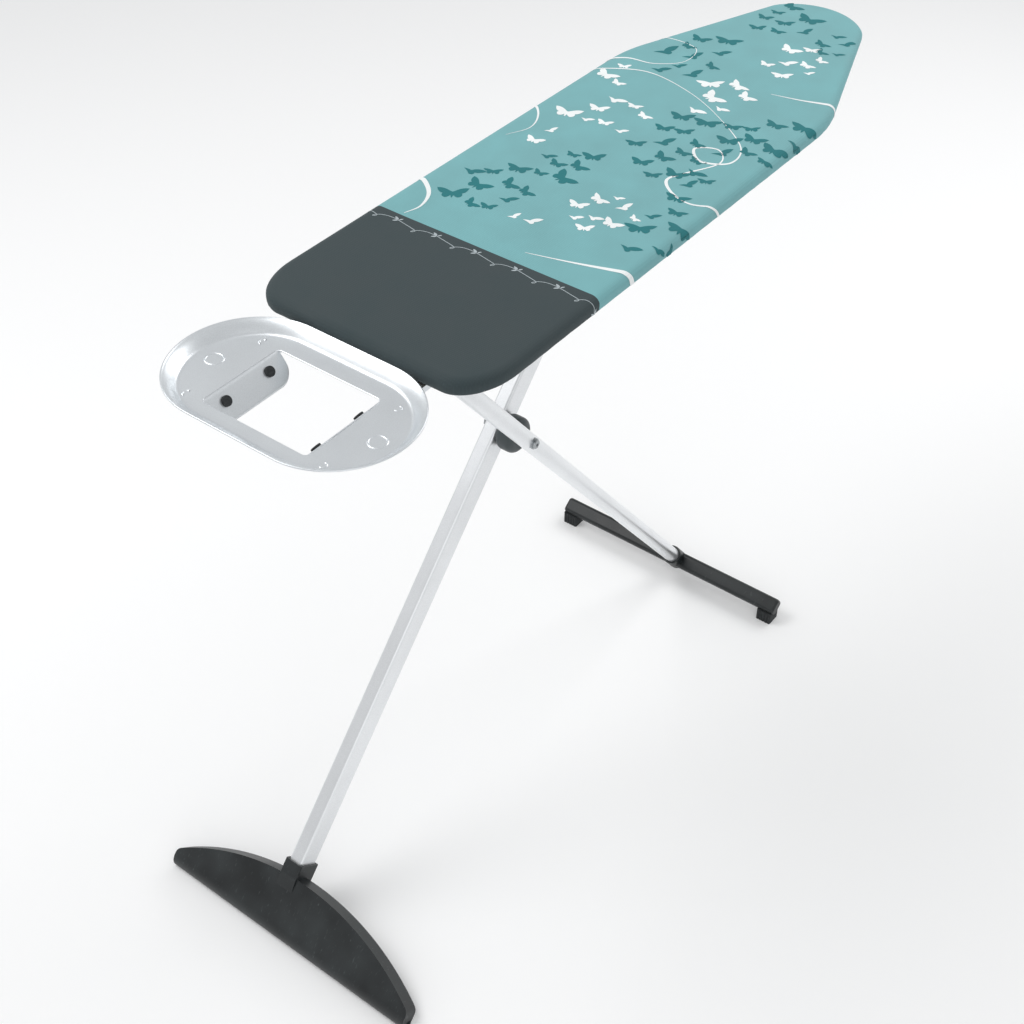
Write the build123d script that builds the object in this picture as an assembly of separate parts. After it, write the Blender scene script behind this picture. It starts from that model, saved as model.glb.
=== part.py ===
"""Folding ironing board with an iron tray, an oblong leg and a round leg.

Lengths are in millimetres. The board's own frame has X from the wide end
towards the nose, Y across, Z up from the floor. Every sub-part is shifted at
the end, so that the origin is under the middle of the whole object.
"""
from build123d import *
import math
import os

# --- board ---------------------------------------------------------------
board_length = 1200.0
board_width = 380.0
work_height = 1013.0          # floor to the top of the cover
corner_along = 84.0           # rounded corners of the wide end
corner_across = 54.0
taper_start = 860.0           # the sides run parallel up to here
taper_blend = 40.0
nose_depth = 49.0             # from the end of the taper to the tip
nose_half_width = 87.0
nose_fullness = 48.0

cover_depth = 23.0            # height of the padded edge
cover_skin = 1.2
cover_edge_radius = 8.0
hem_lip = 14.0                # how far the cover turns in underneath
hem_width = 3.2
hem_height = 3.2
pad_thickness = 8.0
layer_gap = 0.4               # between soft layers
deck_sheet = 1.0
deck_hole_radius = 9.0
deck_hole_pitch_x = 70.0
deck_hole_pitch_y = 58.0
rim_inset = 3.5
rim_width = 15.0
rim_wall = 1.5

# --- chassis under the deck ------------------------------------------------
pin_drop = 38.0               # from the working surface to the leg pins
rail_inner_y = 62.0
rail_depth = 16.0
rail_wall = 1.5
rail_start = 36.0
rail_end = 1020.0
shoe_height = 18.0
shoe_length = 30.0
shoe_gap = 0.4                # above the shoe and behind it
shoe_drop = 5.0               # room under the shoe for the leg's swing
cross_width = 24.0
cross_wall = 1.5
cross_places = (150.0, 330.0, 560.0, 1000.0, 1090.0)
rivet_radius = 2.5
rivet_head_radius = 4.5
rivet_head_height = 1.4

# --- legs --------------------------------------------------------------------
hinge_x = 70.0                # fixed hinge of the round leg
round_slope = 51.4            # degrees from the floor when open
oblong_slope = 47.6
cross_arm = 426.0             # hinge to crossing, along the round leg
round_radius = 14.0
round_wall = 1.5
round_y = -16.0
oblong_height = 40.0
oblong_width = 25.0
oblong_wall = 1.5
oblong_corner = 4.0
oblong_y = 40.0
oblong_top_spare = 10.0       # tube past its top pin
round_top_spare = 15.0
axle_radius = 5.0
running_fit = 0.05
hole_clearance = 0.3
plug_clearance = 0.1

# --- pivot --------------------------------------------------------------------
bolt_radius = 4.0
bolt_head_radius = 7.5
bolt_head_height = 4.0
pivot_disc_radius = 29.0
disc_saddle = 4.0             # how far the disc reaches round the tube
pivot_gap = 0.3
washer_radius = 9.0
washer_thickness = 1.6
nut_width = 13.0
nut_height = 7.0

# --- half-moon foot on the oblong leg -------------------------------------------
moon_half = 244.0
moon_middle_y = 6.0
moon_height = 99.5            # along the leg, from the floor to the top of the arc
moon_arc_radius = 450.0
moon_end_radius = 14.0
moon_front = 20.0             # face of the foot in front of the leg's middle
moon_depth = 28.0
moon_skin = 3.5
moon_toe_height = 17.4        # where the face starts to roll under
moon_toe_radius = 22.0
moon_rib = 2.5
moon_rib_places = (-190.0, -130.0, -70.0, 100.0, 160.0, 215.0)
collar_height = 122.0
collar_wall = 4.0
collar_low = 70.0             # the collar's solid starts here
collar_insert = 34.0          # depth of the tube in the collar
spigot_length = 60.0
spigot_clearance = 0.3
glide_length = 34.0
glide_width = 16.0
glide_start = 3.5             # behind the front of the foot
glide_height = 5.0

# --- bar foot on the round leg ----------------------------------------------------
bar_half = 242.0
bar_face = 30.0               # across the face that the tube enters
bar_thick = 24.0
bar_corner = 7.0
bar_above_floor = 39.0        # along the leg, from the floor to the bar's middle
socket_radius = 18.0
socket_mouth = 30.0           # socket mouth above the bar's middle, along the leg
socket_insert = 36.0
pad_length = 30.0
pad_width = 30.0
pad_height = 24.0
pad_groove = 1.6
pad_grooves = 5

# --- iron tray -----------------------------------------------------------------------
tray_gap = 2.5                # between the tray and the cover
tray_width = 219.0
tray_length = 358.0
tray_flare = 18.0
tray_depth = 13.5
tray_sheet = 1.2
tray_rim_bead = 1.8
opening_front = 40.0          # floor left on the outer side of the opening
opening_width = 132.0
opening_length = 170.0
opening_corner = 8.0
flap_length = 43.5
flap_lean = 37.6              # degrees from upright, towards the opening
flap_corner = 24.0
buffer_radius = 7.1
buffer_height = 4.0
buffer_place = 16.7           # along the flap from its fold
buffer_spacing = 75.0
buffer_stem = 3.0
buffer_flange = 4.5
buffer_flange_height = 1.5
emboss_radius = 13.0
emboss_width = 2.4
emboss_height = 0.8
crescent_radius = 6.0
emboss_gap = 49.0             # from the opening's end to the ring's middle
crescent_gap = 26.0
arm_y = 98.0
arm_width = 20.0
arm_height = 9.0
arm_wall = 1.5
arm_front = 150.0             # arm under the tray, from the board's end
arm_back = 345.0              # arm under the board

# --- height lock -------------------------------------------------------------------------
lever_y = 12.0                # hinge line of the lock lever
lever_drop = 19.0             # hinge line below the working surface
lever_front = 595.0
lever_back = 956.0
lever_plate = 4.0
lever_pin_radius = 3.0
lug_gap = 6.0
lug_plate = 3.0
rack_y = -48.0
rack_plate = 3.0
rack_height = 10.0
rack_gap = 0.6
notch_pitch = 24.0
notch_count = 8
release_y = -130.0
release_drop = 67.0           # release bar below the working surface
release_radius = 4.0
grip_radius = 8.0
grip_length = 190.0
spring_radius = 5.2
spring_wire = 0.6
spring_turns = 6

# --- worked out from the sizes above -----------------------------------------------------
alpha = math.radians(round_slope)
beta = math.radians(oblong_slope)
pin_z = work_height - pin_drop
cross_x = hinge_x + cross_arm * math.cos(alpha)
cross_z = pin_z - cross_arm * math.sin(alpha)
oblong_arm = cross_arm * math.sin(alpha) / math.sin(beta)
slide_x = cross_x + oblong_arm * math.cos(beta)
oblong_foot = cross_z / math.sin(beta)
round_foot = cross_z / math.sin(alpha)

cover_bottom = work_height - cover_depth
pad_top = work_height - cover_skin - layer_gap
pad_bottom = pad_top - pad_thickness
deck_top = pad_bottom - layer_gap / 4
deck_bottom = deck_top - deck_sheet
rim_bottom = cover_bottom + cover_skin + layer_gap
rail_roof = pin_z + shoe_height / 2 + shoe_gap
rail_top = rail_roof + rail_wall
rail_floor = pin_z - shoe_height / 2 - shoe_drop
rail_bottom = rail_floor - rail_wall
rail_outer_y = rail_inner_y + rail_depth
axle_half = rail_outer_y - rail_wall - shoe_gap - 0.5

tray_floor_bottom = rail_top
tray_floor_top = tray_floor_bottom + tray_sheet
tray_rim_z = tray_floor_top + tray_depth
tray_middle_x = -tray_gap - tray_width / 2
tray_front_x = -tray_gap - tray_width
opening_x = tray_front_x + opening_front + opening_width / 2

lever_z = work_height - lever_drop
release_z = work_height - release_drop
rack_bottom = pin_z + axle_radius + rack_gap

moon_back = moon_front - moon_depth
toe_out = moon_front - moon_toe_radius
heel_x = cross_x - oblong_foot * math.cos(beta)
toe_x = (heel_x + moon_toe_height * math.cos(beta) - toe_out * math.sin(beta)
         - moon_toe_radius)
origin_x = (board_length + toe_x) / 2


def board_edge(inset):
    """Closed outline of the board, drawn a distance inside the cover's edge."""
    half = board_width / 2 - inset
    along = corner_along - inset
    across = corner_across - inset
    round_pull = 0.5523
    slope = math.atan2(board_width / 2 - nose_half_width,
                       board_length - nose_depth - taper_start)
    way = Vector(math.cos(slope), -math.sin(slope))
    bend = Vector(taper_start - inset * math.tan(slope / 2), half)
    taper_end = Vector(board_length - nose_depth, nose_half_width)
    taper_end = taper_end - Vector(math.sin(slope), math.cos(slope)) * inset
    tip = board_length - inset
    fullness = nose_fullness * (1 - inset / nose_half_width)
    corner = [(inset, half - across), (inset, half - across + across * round_pull),
              (inset + along - along * round_pull, half), (inset + along, half)]
    blend = [(bend.X - taper_blend, half), (bend.X, half), bend + way * taper_blend]
    nose = [taper_end, taper_end + way * (nose_depth * 0.3), (tip, fullness), (tip, 0)]
    side = Curve() + [
        Line((inset, 0), corner[0]),
        Bezier(*corner),
        Line(corner[-1], blend[0]),
        Bezier(*blend),
        Line(blend[-1], taper_end),
        Bezier(*nose),
    ]
    return side + mirror(side, Plane.XZ)


def board_slab(inset, bottom, top):
    """The board's outline, as a slab between two heights."""
    return extrude(Pos(0, 0, bottom) * make_face(board_edge(inset).edges()), top - bottom)


def box_between(low, high):
    """Box from its lowest to its highest corner."""
    size = [b - a for a, b in zip(low, high)]
    middle = [(a + b) / 2 for a, b in zip(low, high)]
    return Pos(*middle) * Box(*size)


def rod_y(radius, low, high, x=0.0, z=0.0):
    """Round bar across the board, from one Y to another."""
    return Pos(x, (low + high) / 2, z) * Rot(90, 0, 0) * Cylinder(radius, high - low)


def rod_x(radius, low, high, y=0.0, z=0.0):
    """Round bar along the board, from one X to another."""
    return Pos((low + high) / 2, y, z) * Rot(0, 90, 0) * Cylinder(radius, high - low)


def rod_z(radius, low, high, x=0.0, y=0.0):
    """Upright round bar."""
    return Pos(x, y, (low + high) / 2) * Cylinder(radius, high - low)


def on_oblong(shape):
    """Places a shape drawn with X up the oblong leg and the crossing at zero."""
    return Pos(cross_x, 0, cross_z) * Rot(0, -oblong_slope, 0) * shape


def on_round(shape):
    """Places a shape drawn with X down the round leg and the crossing at zero."""
    return Pos(cross_x, 0, cross_z) * Rot(0, round_slope, 0) * shape


def soft_top(slab, top, radius):
    """Rounds the upper edge of a board-shaped slab."""
    upper = [edge for edge in slab.edges() if edge.center().Z > top - 0.01]
    return fillet(upper, radius)


# --- soft layers ------------------------------------------------------------
def cover():
    """Fabric cover: a shell over the top, down the edge and turned in below."""
    outer = soft_top(board_slab(0, cover_bottom, work_height), work_height, cover_edge_radius)
    hollow = board_slab(cover_skin, cover_bottom + cover_skin, work_height - cover_skin)
    hollow = soft_top(hollow, work_height - cover_skin, cover_edge_radius - cover_skin)
    mouth = board_slab(hem_lip, cover_bottom - 1, cover_bottom + cover_skin + 1)
    return outer - hollow - mouth


def cover_hem():
    """Elastic binding in the hem, a round bead along the cover's lower lip."""
    top = rim_bottom - layer_gap / 2
    bottom = top - hem_height
    ring = board_slab(hem_lip, bottom, top)
    return ring - board_slab(hem_lip + hem_width, bottom - 1, top + 1)


def foam_pad():
    """Soft pad between the deck and the cover."""
    inset = cover_skin + layer_gap
    slab = board_slab(inset, pad_bottom, pad_top)
    return soft_top(slab, pad_top, cover_edge_radius - inset)


# --- board structure -----------------------------------------------------------
def deck_panel():
    """Sheet steel deck with staggered steam holes."""
    rows = int(board_width / 2 // deck_hole_pitch_y)
    columns = int(board_length // deck_hole_pitch_x)
    keep_in = board_slab(rim_inset + rim_width + deck_hole_radius + 8, 0, 1)
    holes = []
    for row in range(-rows, rows + 1):
        for column in range(columns):
            shift = deck_hole_pitch_x / 2 if row % 2 else 0
            x = deck_hole_pitch_x * (column + 0.5) + shift
            y = deck_hole_pitch_y * row
            if keep_in.is_inside((x, y, 0.5)):
                holes.append(Wire.make_circle(deck_hole_radius, Plane((x, y, deck_bottom))))
    edge = Wire(board_edge(rim_inset).edges())
    sheet = Face(Pos(0, 0, deck_bottom) * edge, holes)
    return extrude(sheet, deck_sheet, dir=(0, 0, 1))


def rim_channel():
    """Rolled edge channel that stiffens the deck all the way round."""
    ring = board_slab(rim_inset, rim_bottom, deck_bottom)
    ring -= board_slab(rim_inset + rim_width, rim_bottom - 1, deck_bottom + 1)
    groove = board_slab(rim_inset + rim_wall, rim_bottom - 1, deck_bottom - rim_wall)
    groove -= board_slab(rim_inset + rim_width - rim_wall, rim_bottom - 2, deck_bottom)
    return ring - groove


def rail(side):
    """C-shaped slide rail, open towards the middle of the board."""
    outer = box_between((rail_start, rail_inner_y, rail_bottom), (rail_end, rail_outer_y, rail_top))
    slot = box_between((rail_start - 1, rail_inner_y - 1, rail_floor),
                       (rail_end + 1, rail_outer_y - rail_wall, rail_roof))
    hole = rod_y(axle_radius + running_fit, rail_inner_y, rail_outer_y + 1, hinge_x, pin_z)
    shape = outer - slot - hole - rail_rivet_holes()
    return shape if side > 0 else mirror(shape, Plane.XZ)


def rivet_spots():
    """Where the rails are riveted to the cross members, on the left side."""
    middle = (rail_inner_y + rail_outer_y) / 2
    return [(x, middle) for x in cross_places[:4]]


def rail_rivet_holes():
    """Holes for the rivets in the roof of a rail."""
    holes = [rod_z(rivet_radius, rail_roof - 1, rail_top + 1, x, y) for x, y in rivet_spots()]
    return Compound(holes)


def cross_member(x):
    """Channel across the board between the deck and the rails."""
    outer = box_between((x - cross_width / 2, -board_width, rail_top),
                        (x + cross_width / 2, board_width, deck_bottom))
    inner_low = (x - cross_width / 2 + cross_wall, -board_width, rail_top + cross_wall)
    inner_high = (x + cross_width / 2 - cross_wall, board_width, deck_bottom + 1)
    channel = outer - box_between(inner_low, inner_high)
    channel &= board_slab(rim_inset + rim_width, rail_bottom, work_height)
    for spot_x, spot_y in rivet_spots():
        if spot_x == x:
            for side in (-1, 1):
                channel -= rod_z(rivet_radius, rail_top - 1, rail_top + cross_wall + 1,
                                 spot_x, side * spot_y)
    if x < arm_back:
        for side in (-1, 1):
            channel -= rod_z(rivet_radius, rail_top - 1, rail_top + cross_wall + 1,
                             x, side * arm_y)
    return channel


def rivet(x, y, low, high):
    """Domed rivet through a stack of sheets, with a head above and below."""
    shank = rod_z(rivet_radius, low, high, x, y)
    top = rod_z(rivet_head_radius, high, high + rivet_head_height, x, y)
    bottom = rod_z(rivet_head_radius, low - rivet_head_height, low, x, y)
    return shank + top + bottom


def rail_rivets():
    """Rivets that hold the rails to the cross members."""
    pieces = []
    for x, y in rivet_spots():
        for side in (-1, 1):
            pieces.append(rivet(x, side * y, rail_roof, rail_top + cross_wall))
    return Compound(pieces)


def hinge_axle():
    """Fixed axle of the round leg, from rail to rail."""
    end = rail_outer_y + 4
    return rod_y(axle_radius, -end, end, hinge_x, pin_z)


def hinge_caps():
    """Push-on caps on both ends of the hinge axle."""
    pieces = []
    for side in (-1, 1):
        outer = rod_y(axle_radius + 3, rail_outer_y, rail_outer_y + 6.5, hinge_x, pin_z)
        cap = outer - rod_y(axle_radius, rail_outer_y - 1, rail_outer_y + 4, hinge_x, pin_z)
        pieces.append(cap if side > 0 else mirror(cap, Plane.XZ))
    return Compound(pieces)


# --- iron tray --------------------------------------------------------------------
def stadium(width, length, z):
    """Oblong outline with half-round ends, across the board."""
    return Pos(tray_middle_x, 0, z) * Rot(0, 0, 90) * SlotOverall(length, width)


def iron_tray():
    """Pressed steel pan with a flared edge, an opening and two turned-down flaps."""
    floor_width = tray_width - 2 * tray_flare
    floor_length = tray_length - 2 * tray_flare
    outer = loft([stadium(floor_width + 2 * tray_sheet, floor_length + 2 * tray_sheet,
                          tray_floor_bottom),
                  stadium(tray_width, tray_length, tray_rim_z)])
    inner = loft([stadium(floor_width, floor_length, tray_floor_top),
                  stadium(tray_width - 2 * tray_sheet, tray_length - 2 * tray_sheet,
                          tray_rim_z + 0.01)])
    bead_out = extrude(stadium(tray_width, tray_length, tray_rim_z), tray_rim_bead)
    bead_in = extrude(stadium(tray_width - 2 * tray_sheet, tray_length - 2 * tray_sheet,
                              tray_rim_z - 1), tray_rim_bead + 2)
    pan = outer - inner + (bead_out - bead_in)
    hole = Pos(opening_x, 0, tray_floor_bottom) * RectangleRounded(
        opening_width, opening_length, opening_corner)
    pan -= extrude(Pos(0, 0, -1) * hole, tray_sheet + 2)
    for side in (-1, 1):
        pan += flap(side)
        for x, y in emboss_spots(side):
            pan += ring(x, y, emboss_radius)
        for x, y in crescent_spots(side):
            pan += half_ring(x, y, side)
    return pan


def flap(side):
    """Flap at one end of the opening: it leans inwards and is rounded below."""
    plate = box_between((-opening_width / 2, 0, -flap_length),
                        (opening_width / 2, tray_sheet, 0))
    lower = [e for e in plate.edges().filter_by(Axis.Y) if e.center().Z < -flap_length / 2]
    plate = fillet(lower, flap_corner)
    for x in buffer_xs():
        plate -= rod_y(buffer_stem, -1, tray_sheet + 1, x, -buffer_place)
    return on_flap(plate, side)


def on_flap(shape, side):
    """Puts a shape drawn for an upright flap on the leaning flap of one side."""
    placed = Pos(opening_x, opening_length / 2, tray_floor_top) * Rot(-flap_lean, 0, 0) * shape
    return placed if side > 0 else mirror(placed, Plane.XZ)


def buffer_xs():
    """Places of the buffers along a flap, from its middle."""
    return [-buffer_spacing / 2, buffer_spacing / 2]


def tray_buffer(x, side):
    """Rubber buffer, a low drum inside the flap with its stem through the sheet."""
    drum = rod_y(buffer_radius, -buffer_height, 0, x, -buffer_place)
    rounded = fillet(drum.edges().sort_by(Axis.Y)[0], 1.2)
    shape = rounded + rod_y(buffer_stem, 0, tray_sheet, x, -buffer_place)
    shape += rod_y(buffer_flange, tray_sheet, tray_sheet + buffer_flange_height,
                   x, -buffer_place)
    return on_flap(shape, side)


def emboss_spots(side):
    """Middle of the large pressed ring on each side of the tray."""
    return [(tray_middle_x, side * (opening_length / 2 + emboss_gap))]


def crescent_spots(side):
    """Middles of the small pressed crescents beside the opening."""
    y = side * (opening_length / 2 + crescent_gap)
    return [(opening_x - opening_width / 2, y), (opening_x + opening_width / 2, y)]


def ring(x, y, radius):
    """Low round ridge pressed in the tray's floor."""
    band = rod_z(radius, tray_floor_top, tray_floor_top + emboss_height, x, y)
    return band - rod_z(radius - emboss_width, 0, work_height, x, y)


def half_ring(x, y, side):
    """Low half-round ridge, open towards the opening."""
    band = ring(x, y, crescent_radius)
    away = box_between((x - 20, y, 0), (x + 20, y + 20, work_height))
    near = box_between((x - 20, y - 20, 0), (x + 20, y, work_height))
    return band & (away if side > 0 else near)


def tray_arm(side):
    """Box-section arm that carries the tray, fixed under the board."""
    front = -tray_gap - arm_front
    outer = box_between((front, arm_y - arm_width / 2, rail_top - arm_height),
                        (arm_back, arm_y + arm_width / 2, rail_top))
    inner = box_between((front - 1, arm_y - arm_width / 2 + arm_wall,
                         rail_top - arm_height + arm_wall),
                        (arm_back + 1, arm_y + arm_width / 2 - arm_wall, rail_top - arm_wall))
    arm = outer - inner
    for x, y in arm_rivet_spots():
        if y > 0:
            arm -= rod_z(rivet_radius, rail_top - arm_wall - 1, rail_top + 1, x, y)
    return arm if side > 0 else mirror(arm, Plane.XZ)


def arm_rivet_spots():
    """Where the arms are fixed to the cross members."""
    xs = [x for x in cross_places if x < arm_back]
    return [(x, side * arm_y) for x in xs for side in (-1, 1)]


def tray_rivets():
    """Rivets through the cross members into the tray's arms."""
    return Compound([rivet(x, y, rail_top - arm_wall, rail_top + cross_wall)
                     for x, y in arm_rivet_spots()])


# --- round leg --------------------------------------------------------------------
def round_tube():
    """Round steel tube of the leg, open at both ends, drilled for axle and bolt."""
    top = -cross_arm - round_top_spare
    bottom = round_foot - bar_above_floor - socket_mouth + socket_insert
    tube = rod_x(round_radius, top, bottom, round_y)
    tube -= rod_x(round_radius - round_wall, top - 1, bottom + 1, round_y)
    tube -= rod_y(axle_radius + hole_clearance, -60, 60, -cross_arm)
    tube -= rod_y(bolt_radius + hole_clearance, -60, 60)
    return on_round(tube)


def round_top_plug():
    """Nylon plug in the tube's upper end; the hinge axle runs in it."""
    top = -cross_arm - round_top_spare
    plug = rod_x(round_radius - round_wall - plug_clearance, top, top + 42, round_y)
    plug += rod_x(round_radius, top - 3, top, round_y)
    plug -= rod_y(axle_radius + running_fit, -60, 60, -cross_arm)
    return on_round(plug)


def pivot_disc():
    """Plastic disc between the legs, saddled on the round tube."""
    high = oblong_y - oblong_width / 2 - pivot_gap
    low = round_y + round_radius - disc_saddle
    disc = rod_y(pivot_disc_radius, low, high)
    disc = fillet(disc.edges().sort_by(Axis.Y)[-1], 3)
    disc = fillet(disc.edges().sort_by(Axis.Y)[0], 2)
    disc -= rod_x(round_radius, -board_width, board_width, round_y)
    disc -= rod_y(bolt_radius + hole_clearance, -60, 60)
    return on_round(disc)


def saddle_washer():
    """Cupped washer between the bolt head and the round tube."""
    low = round_y - round_radius - washer_thickness
    washer = rod_y(washer_radius, low, round_y - round_radius + 3.5)
    washer -= rod_x(round_radius, -100, 100, round_y)
    washer -= rod_y(bolt_radius + hole_clearance, -60, 60)
    return on_round(washer)


def pivot_bolt():
    """Bolt on which the legs turn, with a round head on the round tube's side."""
    head_low = round_y - round_radius - washer_thickness - bolt_head_height
    head_high = round_y - round_radius - washer_thickness
    head = rod_y(bolt_head_radius, head_low, head_high)
    head = fillet(head.edges().sort_by(Axis.Y)[0], 2.5)
    end = oblong_y + oblong_width / 2 + pivot_gap + washer_thickness + nut_height + 2
    shank = rod_y(bolt_radius, head_high, end)
    hexagon = extrude(Plane.XZ * RegularPolygon(3.0, 6), 2)
    socket = Pos(0, head_low + 2, 0) * hexagon
    return on_round(head + shank - socket)


def flat_washer():
    """Washer between the nut and the oblong tube."""
    low = oblong_y + oblong_width / 2 + pivot_gap
    washer = rod_y(washer_radius, low, low + washer_thickness)
    return on_round(washer - rod_y(bolt_radius + hole_clearance, -60, 80))


def pivot_nut():
    """Hexagon nut on the pivot bolt."""
    low = oblong_y + oblong_width / 2 + pivot_gap + washer_thickness
    hexagon = RegularPolygon(nut_width / 2, 6, major_radius=False)
    nut = Pos(0, low + nut_height, 0) * extrude(Plane.XZ * hexagon, nut_height)
    return on_round(nut - rod_y(bolt_radius, 0, 90))


def bar_middle():
    """Middle of the bar foot, along the round leg from the crossing."""
    return round_foot - bar_above_floor


def bar_solid():
    """Outer shape of the bar foot without its socket."""
    middle = bar_middle()
    bar = Pos(middle, 0, 0) * Box(bar_thick, 2 * bar_half, bar_face)
    bar = fillet(bar.edges().filter_by(Axis.Y), bar_corner)
    ends = [e for e in bar.edges() if abs(abs(e.center().Y) - bar_half) < 0.1]
    return fillet(ends, 5)


def bar_foot():
    """Moulded bar foot across the round leg, with a socket for the tube."""
    middle = bar_middle()
    mouth = middle - socket_mouth
    foot = bar_solid()
    boss = rod_x(socket_radius, mouth, middle + bar_thick / 2 + 2, round_y)
    boss = fillet(boss.edges().sort_by(Axis.X)[-1], 3)
    foot += boss
    foot -= rod_x(round_radius + plug_clearance, mouth - 1, mouth + socket_insert, round_y)
    screw = foot_screw_place()
    foot -= Pos(*screw) * Rot(0, 90, 0) * Cylinder(2.2, 60)
    return on_round(foot)


def foot_screw_place():
    """Where the screw enters the bar foot, in the round leg's frame."""
    return (bar_middle() + bar_thick / 2 + 2, round_y, 0)


def bar_foot_plug():
    """Plug in the tube's lower end, which the foot's screw bites into."""
    end = bar_middle() - socket_mouth + socket_insert
    plug = rod_x(round_radius - round_wall - plug_clearance, end - 30, end, round_y)
    plug -= rod_x(2.2, end - 31, end + 1, round_y)
    return on_round(plug)


def bar_foot_screw():
    """Screw through the foot into the plug in the tube."""
    x, y, z = foot_screw_place()
    end = bar_middle() - socket_mouth + socket_insert
    shank = rod_x(2.2, end - 20, x, y, z)
    head = rod_x(4.2, x, x + 2.4, y, z)
    return on_round(shank + fillet(head.edges().sort_by(Axis.X)[-1], 1.2))


def bar_pad(side):
    """Ribbed rubber pad under one end of the bar foot."""
    middle = bar_middle()
    x = cross_x + middle * math.cos(alpha)
    inner = bar_half - pad_length - 2
    block = box_between((x - pad_width / 2 - 4, inner, 0),
                        (x + pad_width / 2 - 4, inner + pad_length, pad_height))
    block = fillet(block.edges().filter_by(Axis.Z), 3)
    step = pad_length / pad_grooves
    for number in range(1, pad_grooves):
        y = inner + step * number
        for edge_x in (x - pad_width / 2 - 4, x + pad_width / 2 - 4):
            block -= box_between((edge_x - 1, y - pad_groove / 2, -1),
                                 (edge_x + 1, y + pad_groove / 2, pad_height + 1))
    block -= on_round(bar_solid())
    pad = block.solids().sort_by(Axis.Z)[0]
    return pad if side > 0 else mirror(pad, Plane.XZ)


# --- oblong leg -------------------------------------------------------------------
def oblong_bar(low, high, height, width, corner):
    """Solid oblong bar along the leg, with rounded edges."""
    bar = box_between((low, oblong_y - width / 2, -height / 2),
                      (high, oblong_y + width / 2, height / 2))
    return fillet(bar.edges().filter_by(Axis.X), corner)


def tube_end():
    """Lower end of the oblong tube, along the leg from the crossing."""
    return -oblong_foot + collar_height - collar_insert


def oblong_tube():
    """Oblong steel tube, drilled for the slide axle and the pivot bolt."""
    top = oblong_arm + oblong_top_spare
    tube = oblong_bar(tube_end(), top, oblong_height, oblong_width, oblong_corner)
    tube -= oblong_bar(tube_end() - 1, top + 1, oblong_height - 2 * oblong_wall,
                       oblong_width - 2 * oblong_wall, oblong_corner - oblong_wall)
    tube -= rod_y(axle_radius, 0, 80, oblong_arm)
    tube -= rod_y(bolt_radius + 2 + hole_clearance, 0, 80)
    return on_oblong(tube)


def oblong_top_plug():
    """Plug in the oblong tube's upper end, clamped on the slide axle."""
    top = oblong_arm + oblong_top_spare
    inner_height = oblong_height - 2 * (oblong_wall + plug_clearance)
    inner_width = oblong_width - 2 * (oblong_wall + plug_clearance)
    plug = oblong_bar(top - 40, top, inner_height, inner_width, oblong_corner - oblong_wall)
    plug -= rod_y(axle_radius, 0, 80, oblong_arm)
    return on_oblong(plug)


def pivot_bush():
    """Flanged bush in the oblong tube; it turns on the pivot bolt."""
    low = oblong_y - oblong_width / 2
    bush = rod_y(bolt_radius + 2 + hole_clearance, low, oblong_y + oblong_width / 2)
    bush -= rod_y(bolt_radius + running_fit, low - 1, oblong_y + oblong_width)
    return on_oblong(bush)


def slide_axle():
    """Axle through the oblong leg's upper end; its ends carry the slide shoes."""
    return on_oblong(rod_y(axle_radius, -axle_half, axle_half, oblong_arm))


def moon_outline():
    """Face of the half-moon foot, with X up the leg and zero at the floor line."""
    top = moon_height
    arc_end = math.sqrt(moon_arc_radius ** 2 - moon_half ** 2)
    shoulder = top - (moon_arc_radius - arc_end)
    low = -2 * moon_depth
    path = Polyline((shoulder, -moon_half), (low, -moon_half),
                    (low, moon_half), (shoulder, moon_half))
    arch = ThreePointArc((shoulder, moon_half), (top, 0), (shoulder, -moon_half))
    face = make_face(path.edges() + arch.edges())
    corners = [v for v in face.vertices() if v.X > 0]
    return fillet(corners, moon_end_radius)


def moon_block(inset, back):
    """Side shape of the foot: a flat face that rolls under at the floor."""
    half = moon_half + 10
    front = moon_front - inset
    block = box_between((moon_toe_height, -half, back), (moon_height + 5, half, front))
    roll = rod_y(moon_toe_radius - inset, -half, half, moon_toe_height, toe_out)
    block += roll & box_between((-2 * moon_depth, -half, back), (moon_height, half, front + 1))
    return block


def moon_foot():
    """Moulded half-moon foot: a ribbed shell with a collar for the tube."""
    outline = moon_outline()
    raised = Pos(0, 0, moon_front)
    outer = raised * extrude(outline, -moon_depth) & moon_block(0, moon_back)
    inner = raised * extrude(offset(outline, -moon_skin), -moon_depth - 1)
    foot = outer - (inner & moon_block(moon_skin, moon_back - 1))
    for y in moon_rib_places:
        rib = box_between((-moon_depth, y - moon_rib / 2, moon_back + 2),
                          (moon_height, y + moon_rib / 2, moon_front - moon_skin))
        foot += rib & outer
    foot = Pos(0, moon_middle_y, 0) * foot
    foot -= collar_core()
    foot += collar_shape()
    foot -= socket_room()
    foot = on_oblong(Pos(-oblong_foot, 0, 0) * foot)
    foot -= box_between((-2 * board_length, -board_width, -board_width),
                        (board_length, board_width, 0))
    for side in (-1, 1):
        foot -= glide_block(side)
    return foot


def collar_core():
    """Space that the collar's own solid takes out of the shell."""
    width = oblong_width + 2 * collar_wall
    return box_between((collar_low + 1, oblong_y - width / 2 + 1, moon_back - 1),
                       (collar_height + 1, oblong_y + width / 2 - 1, moon_front - moon_skin))


def collar_shape():
    """Collar round the tube, which ramps down into the face of the foot."""
    width = oblong_width + 2 * collar_wall
    half_height = oblong_height / 2 + collar_wall
    inside = moon_front - 1
    side_view = make_face(Polyline(
        (collar_height, -half_height), (collar_height, half_height),
        (moon_height, half_height), (collar_low, inside),
        (collar_low, moon_back), (collar_low + 14, -half_height),
        (collar_height, -half_height)).edges())
    block = Pos(0, oblong_y + width / 2, 0) * extrude(Plane.XZ * side_view, width)
    return fillet(block.edges().filter_by(Axis.X), 3)


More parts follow.
